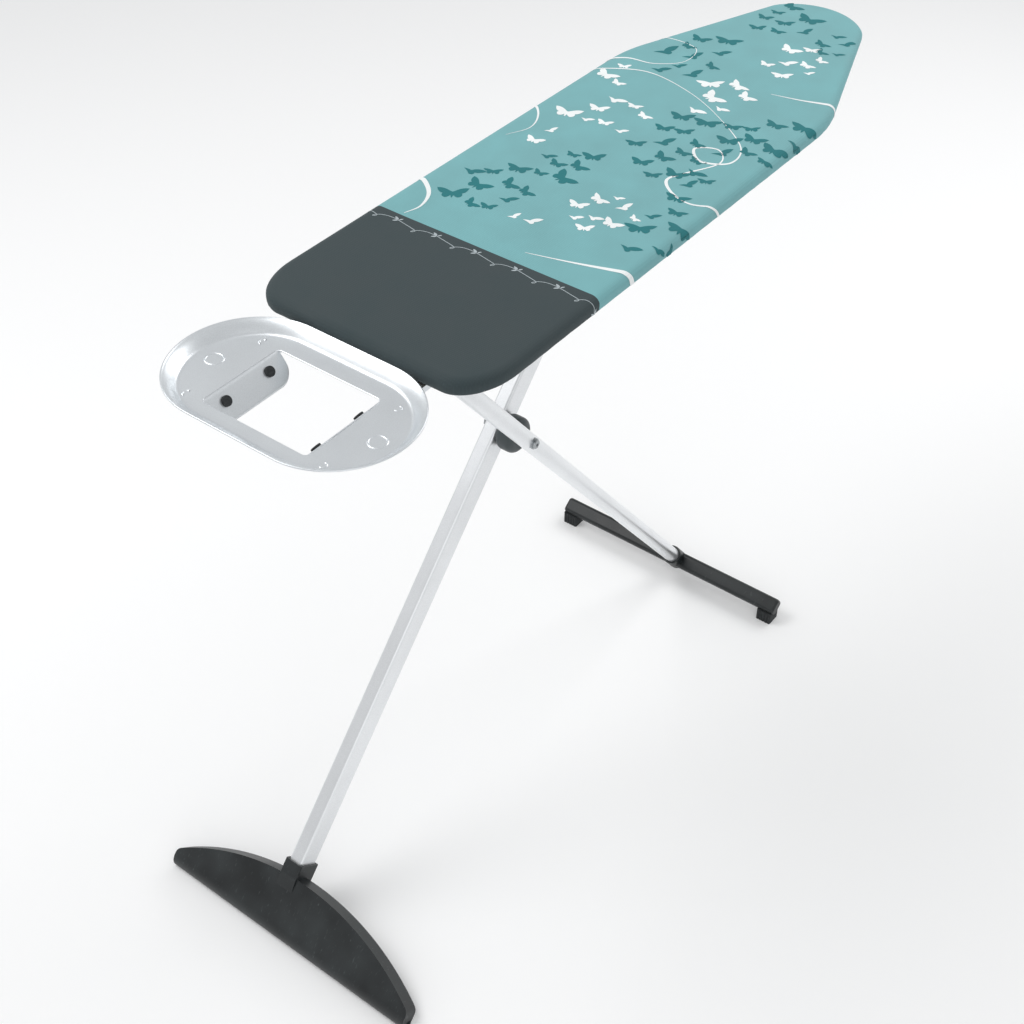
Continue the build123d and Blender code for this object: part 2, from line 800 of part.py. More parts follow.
def socket_room():
    """Room for the tube's end in the collar."""
    return oblong_bar(collar_height - collar_insert, collar_height + 1,
                      oblong_height + 2 * plug_clearance,
                      oblong_width + 2 * plug_clearance, oblong_corner)


def moon_spigot():
    """Plug in the tube's lower end, screwed to the half-moon foot."""
    low = tube_end()
    height = oblong_height - 2 * (oblong_wall + spigot_clearance)
    width = oblong_width - 2 * (oblong_wall + spigot_clearance)
    plug = oblong_bar(low, low + spigot_length, height, width, 2)
    for z in (-9, 9):
        plug -= rod_x(1.8, low - 1, low + 22, oblong_y, z)
    return on_oblong(plug)


def moon_screws():
    """Two screws that hold the spigot and tube in the collar."""
    low = tube_end()
    pieces = []
    for z in (-9, 9):
        pieces.append(rod_x(1.8, low, low + 20, oblong_y, z))
    return on_oblong(Compound(pieces))


def glide_block(side):
    """Outer shape of a floor glide, at one end of the half-moon foot."""
    x = toe_x + glide_start
    inner = moon_half - glide_length
    block = box_between((x, inner, 0), (x + glide_width, moon_half + 1.5, glide_height))
    block = fillet(block.edges().filter_by(Axis.Z), 4)
    block = block if side > 0 else mirror(block, Plane.XZ)
    return Pos(0, moon_middle_y, 0) * block


def slide_shoe(side):
    """Nylon shoe that runs in the rail and turns on the slide axle."""
    inner = rail_inner_y + shoe_gap
    outer = rail_outer_y - rail_wall - shoe_gap
    shoe = box_between((slide_x - shoe_length / 2, inner, pin_z - shoe_height / 2),
                       (slide_x + shoe_length / 2, outer, pin_z + shoe_height / 2))
    shoe = fillet(shoe.edges().filter_by(Axis.Y), 3)
    shoe -= rod_y(axle_radius + running_fit, inner - 1, outer + 1, slide_x, pin_z)
    return shoe if side > 0 else mirror(shoe, Plane.XZ)


# --- height lock ------------------------------------------------------------------
def lever_arm(x):
    """Cranked plate of the lock lever, from its hinge out to the release bar."""
    half = 5.0
    drop_in = rack_y - rack_plate / 2 + 1
    drop_out = drop_in - 9
    outline = Polyline(
        (lever_y + half, lever_z + half), (drop_in, rack_bottom + rack_height + 1),
        (drop_out, rack_bottom + rack_height + 1), (drop_out, release_z + half),
        (release_y - half - 3, release_z + half), (release_y - half - 3, release_z - half),
        (drop_in, release_z - half), (drop_in, rack_bottom + 1),
        (lever_y + half, lever_z - half), (lever_y + half, lever_z + half))
    plate = Pos(x, 0, 0) * extrude(Plane.YZ * make_face(outline.edges()), lever_plate)
    plate -= rod_x(lever_pin_radius, x - 1, x + lever_plate + 1, lever_y, lever_z)
    plate -= rod_x(release_radius, x - 1, x + lever_plate + 1, release_y, release_z)
    return plate


def lever_pins():
    """Two pins on which the lock lever hinges."""
    front = rod_x(lever_pin_radius, lever_front - lug_gap - lug_plate - 1,
                  lever_front + lever_plate + 1, lever_y, lever_z)
    back = rod_x(lever_pin_radius, lever_back - 1,
                 lever_back + lever_plate + lug_gap + lug_plate + 1, lever_y, lever_z)
    return Compound([front, back])


def lug(x):
    """Lug under the deck that carries one end of the lock lever."""
    plate = box_between((x, lever_y - 8, lever_z - 7), (x + lug_plate, lever_y + 8, deck_bottom))
    lower = [e for e in plate.edges().filter_by(Axis.X) if e.center().Z < lever_z]
    plate = fillet(lower, 6)
    return plate - rod_x(lever_pin_radius + running_fit, x - 1, x + lug_plate + 1,
                         lever_y, lever_z)


def lock_rack():
    """Notched bar over the slide axle; its notches set the heights."""
    bar = box_between((lever_front + lever_plate, rack_y - rack_plate / 2, rack_bottom),
                      (lever_back, rack_y + rack_plate / 2, rack_bottom + rack_height))
    for number in range(notch_count):
        x = slide_x + notch_pitch * number
        bar -= rod_y(axle_radius + hole_clearance, rack_y - 5, rack_y + 5, x, rack_bottom)
    return bar


def release_bar():
    """Steel bar at the outer end of the lock lever."""
    return rod_x(release_radius, lever_front - 2, lever_back + lever_plate + 2,
                 release_y, release_z)


def release_grip():
    """Moulded grip on the release bar."""
    middle = (lever_front + lever_back + lever_plate) / 2
    grip = rod_x(grip_radius, middle - grip_length / 2, middle + grip_length / 2,
                 release_y, release_z)
    grip = fillet(grip.edges(), 3)
    return grip - rod_x(release_radius, middle - grip_length, middle + grip_length,
                        release_y, release_z)


def return_spring():
    """Torsion spring round the front hinge pin of the lock lever."""
    pitch = (lug_gap - 2 * spring_wire) / spring_turns
    path = Helix(pitch=pitch, height=pitch * (spring_turns - 0.5), radius=spring_radius)
    start = Plane(origin=path @ 0, z_dir=path % 0)
    coil = sweep(start * Circle(spring_wire), path=path)
    start_x = lever_front - lug_gap + 1.2 * spring_wire
    return Pos(start_x, lever_y, lever_z) * Rot(0, 90, 0) * coil


# --- write every sub-part ------------------------------------------------------------
nodes = {
    "cover": cover(),
    "cover_hem": cover_hem(),
    "foam_pad": foam_pad(),
    "deck_panel": deck_panel(),
    "rim_channel": rim_channel(),
    "rail_left": rail(1),
    "rail_right": rail(-1),
    "rail_rivets": rail_rivets(),
    "hinge_axle": hinge_axle(),
    "hinge_caps": hinge_caps(),
    "iron_tray": iron_tray(),
    "tray_arm_left": tray_arm(1),
    "tray_arm_right": tray_arm(-1),
    "tray_rivets": tray_rivets(),
    "round_tube": round_tube(),
    "round_top_plug": round_top_plug(),
    "pivot_disc": pivot_disc(),
    "saddle_washer": saddle_washer(),
    "pivot_bolt": pivot_bolt(),
    "flat_washer": flat_washer(),
    "pivot_nut": pivot_nut(),
    "bar_foot": bar_foot(),
    "bar_foot_plug": bar_foot_plug(),
    "bar_foot_screw": bar_foot_screw(),
    "bar_pad_left": bar_pad(1),
    "bar_pad_right": bar_pad(-1),
    "oblong_tube": oblong_tube(),
    "oblong_top_plug": oblong_top_plug(),
    "pivot_bush": pivot_bush(),
    "slide_axle": slide_axle(),
    "moon_foot": moon_foot(),
    "moon_spigot": moon_spigot(),
    "moon_screws": moon_screws(),
    "moon_glide_left": glide_block(1),
    "moon_glide_right": glide_block(-1),
    "slide_shoe_left": slide_shoe(1),
    "slide_shoe_right": slide_shoe(-1),
    "lever_arm_front": lever_arm(lever_front),
    "lever_arm_back": lever_arm(lever_back),
    "lever_pins": lever_pins(),
    "lock_rack": lock_rack(),
    "release_bar": release_bar(),
    "release_grip": release_grip(),
    "return_spring": return_spring(),
    "lever_lug_front": lug(lever_front - lug_gap - lug_plate),
    "lever_lug_back": lug(lever_back + lever_plate + lug_gap),
}
for number, place in enumerate(cross_places, start=1):
    nodes[f"cross_member_{number}"] = cross_member(place)
for number, (x, side) in enumerate([(x, s) for s in (1, -1) for x in buffer_xs()], start=1):
    nodes[f"tray_buffer_{number}"] = tray_buffer(x, side)

os.makedirs("parts", exist_ok=True)
for name, shape in nodes.items():
    export_step(Pos(-origin_x, 0, 0) * shape, f"parts/{name}.step")

print("origin is at board x", round(origin_x, 3))
print("hinge", round(hinge_x - origin_x, 3), round(pin_z, 3))
print("crossing", round(cross_x - origin_x, 3), round(cross_z, 3))
print("slide axle", round(slide_x - origin_x, 3), round(pin_z, 3))
print("lever hinge", round(lever_y, 3), round(lever_z, 3))
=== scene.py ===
# %% [markdown]
# # A folding ironing board
# The frame, the legs and every part that moves come finished from the CAD
# model. This lesson gives them their looks: a padded printed cover, a pressed
# tray, a perforated deck, moulded feet, and one material for each finish.
# All lengths are in metres, in the same axes as the CAD model.

import math
import random

import bmesh
import bpy
from mathutils import Matrix, Vector
from mathutils.bvhtree import BVHTree


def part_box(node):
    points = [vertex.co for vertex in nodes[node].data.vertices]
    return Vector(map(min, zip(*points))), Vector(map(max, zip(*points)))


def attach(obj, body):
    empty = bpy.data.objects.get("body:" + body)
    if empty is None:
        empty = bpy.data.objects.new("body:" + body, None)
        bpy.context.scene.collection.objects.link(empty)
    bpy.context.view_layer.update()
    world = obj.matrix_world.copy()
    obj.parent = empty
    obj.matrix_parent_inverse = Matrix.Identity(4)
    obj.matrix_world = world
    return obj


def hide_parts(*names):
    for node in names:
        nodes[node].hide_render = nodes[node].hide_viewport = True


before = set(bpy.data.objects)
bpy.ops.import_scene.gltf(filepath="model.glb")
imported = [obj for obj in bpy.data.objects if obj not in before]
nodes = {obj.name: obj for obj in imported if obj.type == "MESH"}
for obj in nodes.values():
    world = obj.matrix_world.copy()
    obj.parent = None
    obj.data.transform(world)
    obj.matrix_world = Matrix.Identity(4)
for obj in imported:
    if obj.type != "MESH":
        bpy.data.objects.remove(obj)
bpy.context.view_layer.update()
MM = 0.001


def corners(node):
    """The low and the high corner of a CAD node's box."""
    return (Vector(corner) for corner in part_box(node))


# %% [markdown]
# ## Camera, light and floor
# The board is seen from above its wide end. A long lens keeps the legs nearly
# parallel. Big soft lamps and a pale surround give
# the silver paint something bright to mirror, and keep the shadows faint.

# %% The camera
board_low, board_high = corners("cover")
wide_end = board_low.x

eye = Vector((wide_end - 1.153, -1.128, 2.156))
yaw = math.radians(37.45)
pitch = math.radians(41.77)
camera_data = bpy.data.cameras.new("camera")
camera_data.sensor_width = 36.0
camera_data.lens = 55.8
camera = bpy.data.objects.new("camera", camera_data)
camera.location = eye
camera.rotation_euler = (math.pi / 2 - pitch, 0.0, yaw - math.pi / 2)
bpy.context.scene.collection.objects.link(camera)
bpy.context.scene.camera = camera
print("camera at", [round(value, 3) for value in eye])


# %% Lamps, surround and floor
def linear(code):
    """Turns an sRGB hex colour into the linear colour that shaders use."""
    parts = [int(code[i:i + 2], 16) / 255 for i in (1, 3, 5)]
    curve = [c / 12.92 if c <= 0.04045 else ((c + 0.055) / 1.055) ** 2.4 for c in parts]
    return (*curve, 1.0)


def add_lamp(name, place, aim, size, power):
    """A square soft box, pointed at a spot."""
    data = bpy.data.lights.new(name, "AREA")
    data.shape = "SQUARE"
    data.size = size
    data.energy = power
    lamp = bpy.data.objects.new(name, data)
    lamp.location = place
    lamp.rotation_euler = (Vector(aim) - Vector(place)).to_track_quat("-Z", "Y").to_euler()
    bpy.context.scene.collection.objects.link(lamp)
    return lamp


add_lamp("key_light", (-1.2, 2.0, 3.6), (0.0, 0.0, 0.7), 2.2, 54)
add_lamp("fill_light", (-2.6, -2.2, 2.0), (0.0, 0.0, 0.6), 2.6, 16)
add_lamp("rim_light", (2.6, -0.6, 2.6), (0.1, 0.0, 0.6), 1.8, 28)

world = bpy.data.worlds.new("studio")
world.use_nodes = True
world.node_tree.nodes["Background"].inputs["Color"].default_value = linear("#F4F5F6")
world.node_tree.nodes["Background"].inputs["Strength"].default_value = 0.68
bpy.context.scene.world = world
bpy.context.scene.view_settings.view_transform = "Standard"


# %% [markdown]
# ## A few helpers
# Every material below starts from the same Principled shader. One function
# adds a node of any kind, another fills a node's inputs, and a third starts a
# material. Most pieces are a skin through rings of points, so the joining of
# rings, the turning of faces and the thickness of sheet are written once too.

# %% Helpers for materials and meshes
merge_distance = 0.02 * MM


def plug(tree, node, inputs):
    """Gives a node its inputs: plain values, hex colours, or sockets and nodes to link."""
    for name, value in inputs.items():
        if isinstance(value, bpy.types.Node):
            value = value.outputs[0]
        if isinstance(value, bpy.types.NodeSocket):
            tree.links.new(value, node.inputs[name])
        elif isinstance(value, str):
            node.inputs[name].default_value = linear(value)
        else:
            node.inputs[name].default_value = value


def add(tree, kind, inputs=None, **settings):
    """Adds a node with its inputs and its options."""
    new = tree.nodes.new(kind)
    for name, value in settings.items():
        setattr(new, name, value)
    plug(tree, new, inputs or {})
    return new


def start_material(name, colour, roughness, metallic=0.0, **sockets):
    """A material with a Principled shader and its plain values."""
    material = bpy.data.materials.new(name)
    material.use_nodes = True
    tree = material.node_tree
    shader = tree.nodes["Principled BSDF"]
    plug(tree, shader, {"Base Color": colour, "Roughness": roughness, "Metallic": metallic})
    plug(tree, shader, {name.replace("_", " "): value for name, value in sockets.items()})
    return material, tree, shader


def blobs(tree, size, detail=2.0, stretch=(1, 1, 1)):
    """A cloudy pattern on the piece, with blobs of about the given size in metres."""
    here = add(tree, "ShaderNodeTexCoord").outputs["Object"]
    place = add(tree, "ShaderNodeMapping", {"Vector": here, "Scale": stretch})
    cloud = add(tree, "ShaderNodeTexNoise", {"Vector": place, "Scale": 1 / size, "Detail": detail})
    return cloud.outputs["Fac"]


def make_piece(name, points, faces, material, body, smooth=True):
    """A mesh object at the origin that rides on a body."""
    mesh = bpy.data.meshes.new(name)
    mesh.from_pydata([tuple(point) for point in points], [], faces)
    mesh.materials.append(material)
    mesh.polygons.foreach_set("use_smooth", [smooth] * len(mesh.polygons))
    piece = bpy.data.objects.new(name, mesh)
    bpy.context.scene.collection.objects.link(piece)
    if body:
        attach(piece, body)
    return piece


def recalculate(piece):
    """Merges doubled points and points every face outwards."""
    shape = bmesh.new()
    shape.from_mesh(piece.data)
    bmesh.ops.remove_doubles(shape, verts=shape.verts, dist=merge_distance)
    bmesh.ops.recalc_face_normals(shape, faces=shape.faces)
    shape.to_mesh(piece.data)
    shape.free()


def face_up(shape, limit=0.0):
    """Turns over the faces that look down by more than a limit."""
    for face in shape.faces:
        if face.normal.z < limit:
            face.normal_flip()


def thicken(piece, thickness):
    """Gives a surface the thickness of its sheet, inwards from its faces."""
    solid = piece.modifiers.new("sheet thickness", "SOLIDIFY")
    solid.thickness = thickness
    solid.offset = -1.0


def bridge(start_a, start_b, count):
    """Faces between two rings of the same number of points."""
    return [(start_a + i, start_a + (i + 1) % count, start_b + (i + 1) % count, start_b + i)
            for i in range(count)]


def skin(rings):
    """Points and faces of a surface through rings of equally many points."""
    count = len(rings[0])
    faces = []
    for number in range(1, len(rings)):
        faces += bridge((number - 1) * count, number * count, count)
    return [point for loop in rings for point in loop], faces


print("helpers ready")

# %% [markdown]
# ## The floor
# A plain pale sheet, wide enough to run out of view.

# %% Floor
floor_material, _, _ = start_material("pale studio sheet", "#FDFDFD", 0.9)
reach = 14.0
floor = make_piece("floor", [(-reach, -reach, 0), (reach, -reach, 0), (reach, reach, 0),
                             (-reach, reach, 0)], [(0, 1, 2, 3)], floor_material, None)
print("floor", 2 * reach, "m wide")


# %% [markdown]
# ## Fabric: the printed cotton cover
# The cover is plain-woven cotton, printed in teal, with a dark metallised heat
# zone where the iron rests. Real threads are about 0.4 mm apart, too fine to
# show, so the weave is drawn at 1.6 mm. Two crossed waves make its bump and a
# painted light and shade on the threads, and slow noise varies the dye and the roughness, as washed
# cloth does.

# %% Cover material
heat_zone_end = wide_end + 0.256
thread = 1.6 * MM
print_blur = 0.2 * MM
ink_roughness = 0.8


def weave(tree, spacing):
    """Height of a plain weave: warp and weft waves that take turns on top."""
    place = add(tree, "ShaderNodeTexCoord").outputs["Object"]
    waves = [add(tree, "ShaderNodeTexWave", {"Vector": place, "Distortion": 0.0,
                                             "Scale": 0.5 / spacing / math.pi},
                 wave_type="BANDS", bands_direction=direction,
                 wave_profile="SIN").outputs["Fac"] for direction in ("X", "Y")]
    return add(tree, "ShaderNodeMath", {0: waves[0], 1: waves[1]}, operation="MULTIPLY")


def cloth_finish(tree, shader, colour):
    """Gives a printed cotton its dye variation, its weave bump, and painted light and shade that
    follow the weave.
    """
    cloud = blobs(tree, 60 * MM, 3.0)
    threads = weave(tree, thread)
    dye = add(tree, "ShaderNodeMapRange", {0: cloud, 1: 0.3, 2: 0.7, 3: 0.94, 4: 1.04})
    # The weave's height also scales the colour: painted shade in the gaps between threads, painted
    # light on their crossings.
    weave_light_and_shade = add(tree, "ShaderNodeMapRange", {0: threads, 1: 0.0, 2: 1.0, 3: 0.93, 4: 1.05})
    both = add(tree, "ShaderNodeMath", {0: dye, 1: weave_light_and_shade}, operation="MULTIPLY")
    dull = add(tree, "ShaderNodeMapRange", {0: cloud, 1: 0.3, 2: 0.7, 3: 0.72, 4: 0.86})
    plug(tree, shader, {
        "Base Color": add(tree, "ShaderNodeVectorMath", {0: colour, "Scale": both},
                          operation="SCALE"),
        "Roughness": dull,
        "Normal": add(tree, "ShaderNodeBump", {"Height": threads, "Strength": 0.5,
                                               "Distance": 0.12 * MM})})


def ink(name, colour):
    """A pigment print that lets the weave show through."""
    material, tree, shader = start_material(name, colour, ink_roughness)
    cloth_finish(tree, shader, linear(colour)[:3])
    return material


cover_cloth, tree, shader = start_material(
    "woven cotton cover", "#76AEB2", 0.8, Sheen_Weight=0.05, Sheen_Roughness=0.5)
along = add(tree, "ShaderNodeSeparateXYZ",
            {"Vector": add(tree, "ShaderNodeTexCoord").outputs["Object"]})
zone = add(tree, "ShaderNodeMapRange", {0: along.outputs["X"], 1: heat_zone_end - print_blur,
                                        2: heat_zone_end + print_blur, 3: 0, 4: 1})
dyed = add(tree, "ShaderNodeMix", {0: zone, 6: "#323F42", 7: "#76AEB2"}, data_type="RGBA")
cloth_finish(tree, shader, dyed.outputs[2])

ink_white = ink("white pigment print", "#F2F6F6")
ink_teal = ink("deep teal pigment print", "#1B7479")
ink_pale = ink("pale grey pigment print", "#AEB8BC")

binding, tree, shader = start_material("woven elastic binding", "#B49A5E", 0.75)
plug(tree, shader, {"Normal": add(tree, "ShaderNodeBump", {
    "Height": weave(tree, 2 * MM), "Distance": 0.3 * MM, "Strength": 0.8})})
print("cover materials ready, heat zone ends at", round(heat_zone_end, 3))

# %% [markdown]
# ## The board's outline
# The cover, the pad, the hem and the deck all follow one outline: a wide end
# with rounded corners, parallel sides, a straight taper and a rounded nose.
# It is drawn once, as a function of how far inside the edge it runs. The half
# outline is sampled in order, so that two outlines can be joined face to face.

# %% Outline
board_length = board_high.x - board_low.x
half_width = (board_high.y - board_low.y) / 2
top_z = board_high.z
across_count = 26
corner_along = 0.084
corner_across = 0.054
taper_start = 0.860
taper_blend = 0.040
nose_depth = 0.049
nose_half_width = 0.087
nose_fullness = 0.048


def bezier(points, count):
    """Points along a Bezier curve, without the first one."""
    made = []
    for step in range(1, count + 1):
        t = step / count
        level = [Vector(point) for point in points]
        while len(level) > 1:
            level = [a.lerp(b, t) for a, b in zip(level, level[1:])]
        made.append(level[0])
    return made


def straight(first, last, count):
    """Points along a line, without the first one."""
    return bezier([first, last], count)


def half_outline(inset):
    """One side of the board, from the corner of the wide end to the tip of the nose."""
    half = half_width - inset
    along_x = corner_along - inset
    across_y = corner_across - inset
    pull = 0.5523
    slope = math.atan2(half_width - nose_half_width, board_length - nose_depth - taper_start)
    way = Vector((math.cos(slope), -math.sin(slope)))
    side = Vector((math.sin(slope), math.cos(slope)))
    bend = Vector((taper_start - inset * math.tan(slope / 2), half))
    taper_end = Vector((board_length - nose_depth, nose_half_width)) - side * inset
    fullness = nose_fullness * (1 - inset / nose_half_width)
    start = Vector((inset, half - across_y))
    points = [start]
    points += bezier([start, (inset, half - across_y * (1 - pull)),
                      (inset + along_x * (1 - pull), half), (inset + along_x, half)], 14)
    points += straight(points[-1], (bend.x - taper_blend, half), 46)
    points += bezier([points[-1], bend, bend + way * taper_blend], 8)
    points += straight(points[-1], taper_end, 15)
    points += bezier([taper_end, taper_end + way * nose_depth * 0.3,
                      (board_length - inset, fullness), (board_length - inset, 0)], 22)
    return [Vector((wide_end + point.x, point.y)) for point in points]


def ring(inset, z):
    """Closed ring of points: across the wide end, up one side and down the other."""
    half = half_outline(inset)
    start = half[0]
    end_line = [Vector((start.x, start.y * (2 * i / across_count - 1)))
                for i in range(across_count + 1)]
    back = [Vector((point.x, -point.y)) for point in reversed(half[1:-1])]
    return [Vector((point.x, point.y, z)) for point in end_line + half[1:] + back]


print("points on the outline:", len(ring(0, 0)))


# %% [markdown]
# ## The padded cover
# A cover like this could be a draped cloth simulation. It is stretched hard
# over a flat pad, though, so its shape is a rule: a flat top, a soft roll at
# the edge, a short side and a lip pulled in underneath by elastic. Rings of
# points follow that profile, and small waves near the hem give the gathers
# that the elastic makes. A grid of rows closes the top, so that the pad's
# faint unevenness can be shown too.

# %% Cover shape
edge_depth = board_high.z - board_low.z
lip = 0.0138
roll = 0.0105
roll_reach = roll * 1.25
cloth_thickness = 0.0009


def cover_profile():
    """Inset and height of the rings, from the inner edge of the lip to the top."""
    steps = [(lip, 0.0002), (lip * 0.7, 0.0), (lip * 0.4, 0.0001), (0.0032, 0.0009),
             (0.0014, 0.0022), (0.0004, 0.0045), (0.0, 0.0075), (0.0, 0.0105)]
    for step in range(1, 8):
        angle = math.pi / 2 * step / 7
        inset = roll_reach * (1 - math.cos(angle))
        steps.append((inset, edge_depth - roll * (1 - math.sin(angle))))
    return steps


def gather(position, strength):
    """Small wave along the hem, from the length of the edge."""
    return strength * (math.sin(position * 2 * math.pi / 0.031)
                       + 0.6 * math.sin(position * 2 * math.pi / 0.0187 + 1.3))


def unevenness(x, y):
    """Faint hollows in the padded top; never above the flat top."""
    wave = math.sin(x * 17 + 2.1 * math.sin(y * 13)) * math.sin(y * 21 + 1.7)
    slow = math.sin(x * 5.3 + 0.4) * math.cos(y * 9.1)
    return -0.00035 * (1 + 0.5 * wave + 0.5 * slow)


def make_cover_shape():
    """Points and faces of the cover's outer surface."""
    points = []
    faces = []
    count = len(ring(0, 0))
    profile = cover_profile()
    for number, (inset, height) in enumerate(profile):
        loop = ring(inset, board_low.z + height)
        length = 0.0
        for i, point in enumerate(loop):
            length += (point - loop[i - 1]).length if i else 0.0
            middle = Vector((wide_end + min(max(point.x - wide_end, 0.2), 0.9), 0, point.z))
            inward = (middle - point).normalized()
            lowness = max(0.0, 1 - height / (edge_depth * 0.55))
            pull = gather(length, 0.00022) * lowness + 0.0004 * lowness
            points.append(point + inward * pull)
        if number:
            faces += bridge((number - 1) * count, number * count, count)
    top_ring = (len(profile) - 1) * count
    half = half_outline(profile[-1][0])
    rows = len(half)
    grid = {}
    for row in range(rows):
        y_edge = half[row].y
        x_row = half[row].x
        for column in range(across_count + 1):
            if row == 0:
                grid[row, column] = top_ring + column
            elif column == across_count:
                grid[row, column] = top_ring + across_count + row
            elif row == rows - 1:
                grid[row, column] = top_ring + across_count + row
            elif column == 0:
                grid[row, column] = top_ring + count - row
            else:
                y = y_edge * (2 * column / across_count - 1)
                rim = min(1.0, row / 8, (rows - 1 - row) / 8, column / 3,
                          (across_count - column) / 3)
                grid[row, column] = len(points)
                points.append(Vector((x_row, y, top_z + unevenness(x_row, y) * rim)))
    for row in range(rows - 1):
        for column in range(across_count):
            corners = [grid[row, column], grid[row + 1, column],
                       grid[row + 1, column + 1], grid[row, column + 1]]
            face = list(dict.fromkeys(corners))
            if len(face) > 2:
                faces.append(tuple(face))
    return points, faces


points, faces = make_cover_shape()
cover = make_piece("padded_cover", points, faces, cover_cloth, "board")
recalculate(cover)
thicken(cover, cloth_thickness)
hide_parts("cover")
cover_surface = BVHTree.FromPolygons([tuple(p) for p in points], faces)
print("cover faces:", len(faces))


# %% [markdown]
# ## The felt pad
# Under the cover lies a soft pad. Only its underside shows, through the holes
# of the deck, so it is one closed shape from two rings, with a needle-felt
# finish of tangled fibres.

# %% Pad
felt, tree, shader = start_material("needle felt", "#D9D6CC", 0.95)
fibres = blobs(tree, 1.2 * MM, 6.0, (1, 1, 3))
tangle = add(tree, "ShaderNodeMix", {0: fibres, 6: "#C9C5B8", 7: "#E4E1D8"}, data_type="RGBA")
plug(tree, shader, {
    "Base Color": tangle.outputs[2],
    "Normal": add(tree, "ShaderNodeBump", {"Height": fibres, "Distance": 0.4 * MM})})

pad_low, pad_high = corners("foam_pad")
pad_steps = [(0.0020, pad_low.z + 0.0001), (0.0018, pad_low.z + 0.002),
             (0.0024, pad_high.z - 0.004), (0.0060, pad_high.z - 0.0008),
             (0.0130, pad_high.z - 0.0006)]
points, faces = skin([ring(inset, height) for inset, height in pad_steps])
count = len(ring(0, 0))
faces.append(tuple(reversed(range(count))))
faces.append(tuple(range(len(points) - count, len(points))))
pad = make_piece("felt_pad", points, faces, felt, "board", smooth=False)
recalculate(pad)
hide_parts("foam_pad")
print("pad thickness", round((pad_high.z - pad_low.z) / MM, 1), "mm")

# %% [markdown]
# ## The hem
# The cover ends in an elastic binding, which shows as a thin ochre line under
# the edge. It could be a curve with a bevel. Rings of points do the same here
# and let the binding's edge be gathered like the cloth beside it.

# %% Hem
hem_low, hem_high = corners("cover_hem")
hem_middle = (hem_low.z + hem_high.z) / 2
hem_radius = (hem_high.z - hem_low.z) / 2 * 0.92
hem_inset = hem_low.x - wide_end + 0.0016
sides = 8
rings = []
for number in range(sides + 1):
    angle = 2 * math.pi * number / sides
    loop = ring(hem_inset - hem_radius * math.cos(angle), hem_middle + hem_radius * math.sin(angle))
    length = 0.0
    for i, point in enumerate(loop):
        length += (point - loop[i - 1]).length if i else 0.0
        loop[i] = point + Vector((0, 0, 0.9 * gather(length, 0.0001)))
    rings.append(loop)
points, faces = skin(rings)
hem = make_piece("cover_hem_binding", points, faces, binding, "board")
recalculate(hem)
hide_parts("cover_hem")
print("hem length about", round(length, 2), "m")


# %% [markdown]
# ## The print
# The real print lies in the cloth. Here each motif is its own thin shape, laid
# a fifth of a millimetre above the cover, so that its edge stays crisp from any
# distance. A function carries a point of the flat cloth onto the padded cover
# and round its rolled edge, and every motif passes through it.

# %% Laying the print on the cover
ink_lift = 0.22 * MM
steepest_edge = 0.6
bare_edge = 4 * MM
edge_points = half_outline(0.0)


def half_width_at(x):
    """Half the board's width at a distance from the wide end."""
    place = wide_end + x
    for first, second in zip(edge_points, edge_points[1:]):
        if first.x <= place <= second.x:
            share = (place - first.x) / max(second.x - first.x, 1e-9)
            return first.y + (second.y - first.y) * share
    return 0.0


def on_cover(x, y):
    """Where a point of the flat cloth lands on the cover, and round its edge."""
    step = 0.004
    slope = math.atan2(half_width_at(x - step) - half_width_at(x + step), 2 * step)
    slope = min(max(slope, -steepest_edge), steepest_edge)
    side = 1 if y >= 0 else -1
    outward = Vector((math.sin(slope), side * math.cos(slope), 0))
    inset = (half_width_at(x) - abs(y)) * math.cos(slope)
    excess = roll_reach - inset
    place = Vector((wide_end + x, y, top_z))
    if excess <= 0:
        hit = cover_surface.ray_cast(place + Vector((0, 0, 0.05)), Vector((0, 0, -1)))[0]
        place.z = (hit.z if hit else top_z) + ink_lift
        return place
    start = place - outward * excess
    quarter = roll * math.pi / 2
    angle = min(excess / roll, math.pi / 2)
    out = roll_reach * math.sin(angle)
    drop = roll * (1 - math.cos(angle))
    if excess > quarter:
        drop = min(roll + excess - quarter, edge_depth - bare_edge)
    normal = outward * math.sin(angle) + Vector((0, 0, math.cos(angle)))
    return start + outward * out - Vector((0, 0, drop)) + normal * ink_lift * 1.6


# %% [markdown]
# ## Butterflies
# One small butterfly is drawn as half an outline in a few Bezier curves and
# mirrored. Each flock scatters turned and scaled copies of it about a middle,
# from a fixed seed, so that every run gives the same cloth.

# %% Butterfly shapes
def butterfly_outline(spread):
    """Closed outline of a butterfly, one unit from middle to wing tip."""
    half = [Vector((0.0, 0.20))]
    half += bezier([(0.0, 0.20), (0.20, 0.28), (0.45, 0.75 * spread), (1.0, 0.66 * spread)], 7)
    half += bezier([half[-1], (0.92, 0.28), (0.80, 0.10), (0.58, 0.02)], 5)
    half += bezier([half[-1], (0.72, -0.10), (0.62, -0.42), (0.40, -0.46)], 5)
    half += bezier([half[-1], (0.24, -0.44), (0.14, -0.24), (0.08, -0.20)], 4)
    half += bezier([half[-1], (0.06, -0.40), (0.03, -0.46), (0.0, -0.50)], 3)
    mirrored = [Vector((-point.x, point.y)) for point in reversed(half[1:-1])]
    return half + mirrored


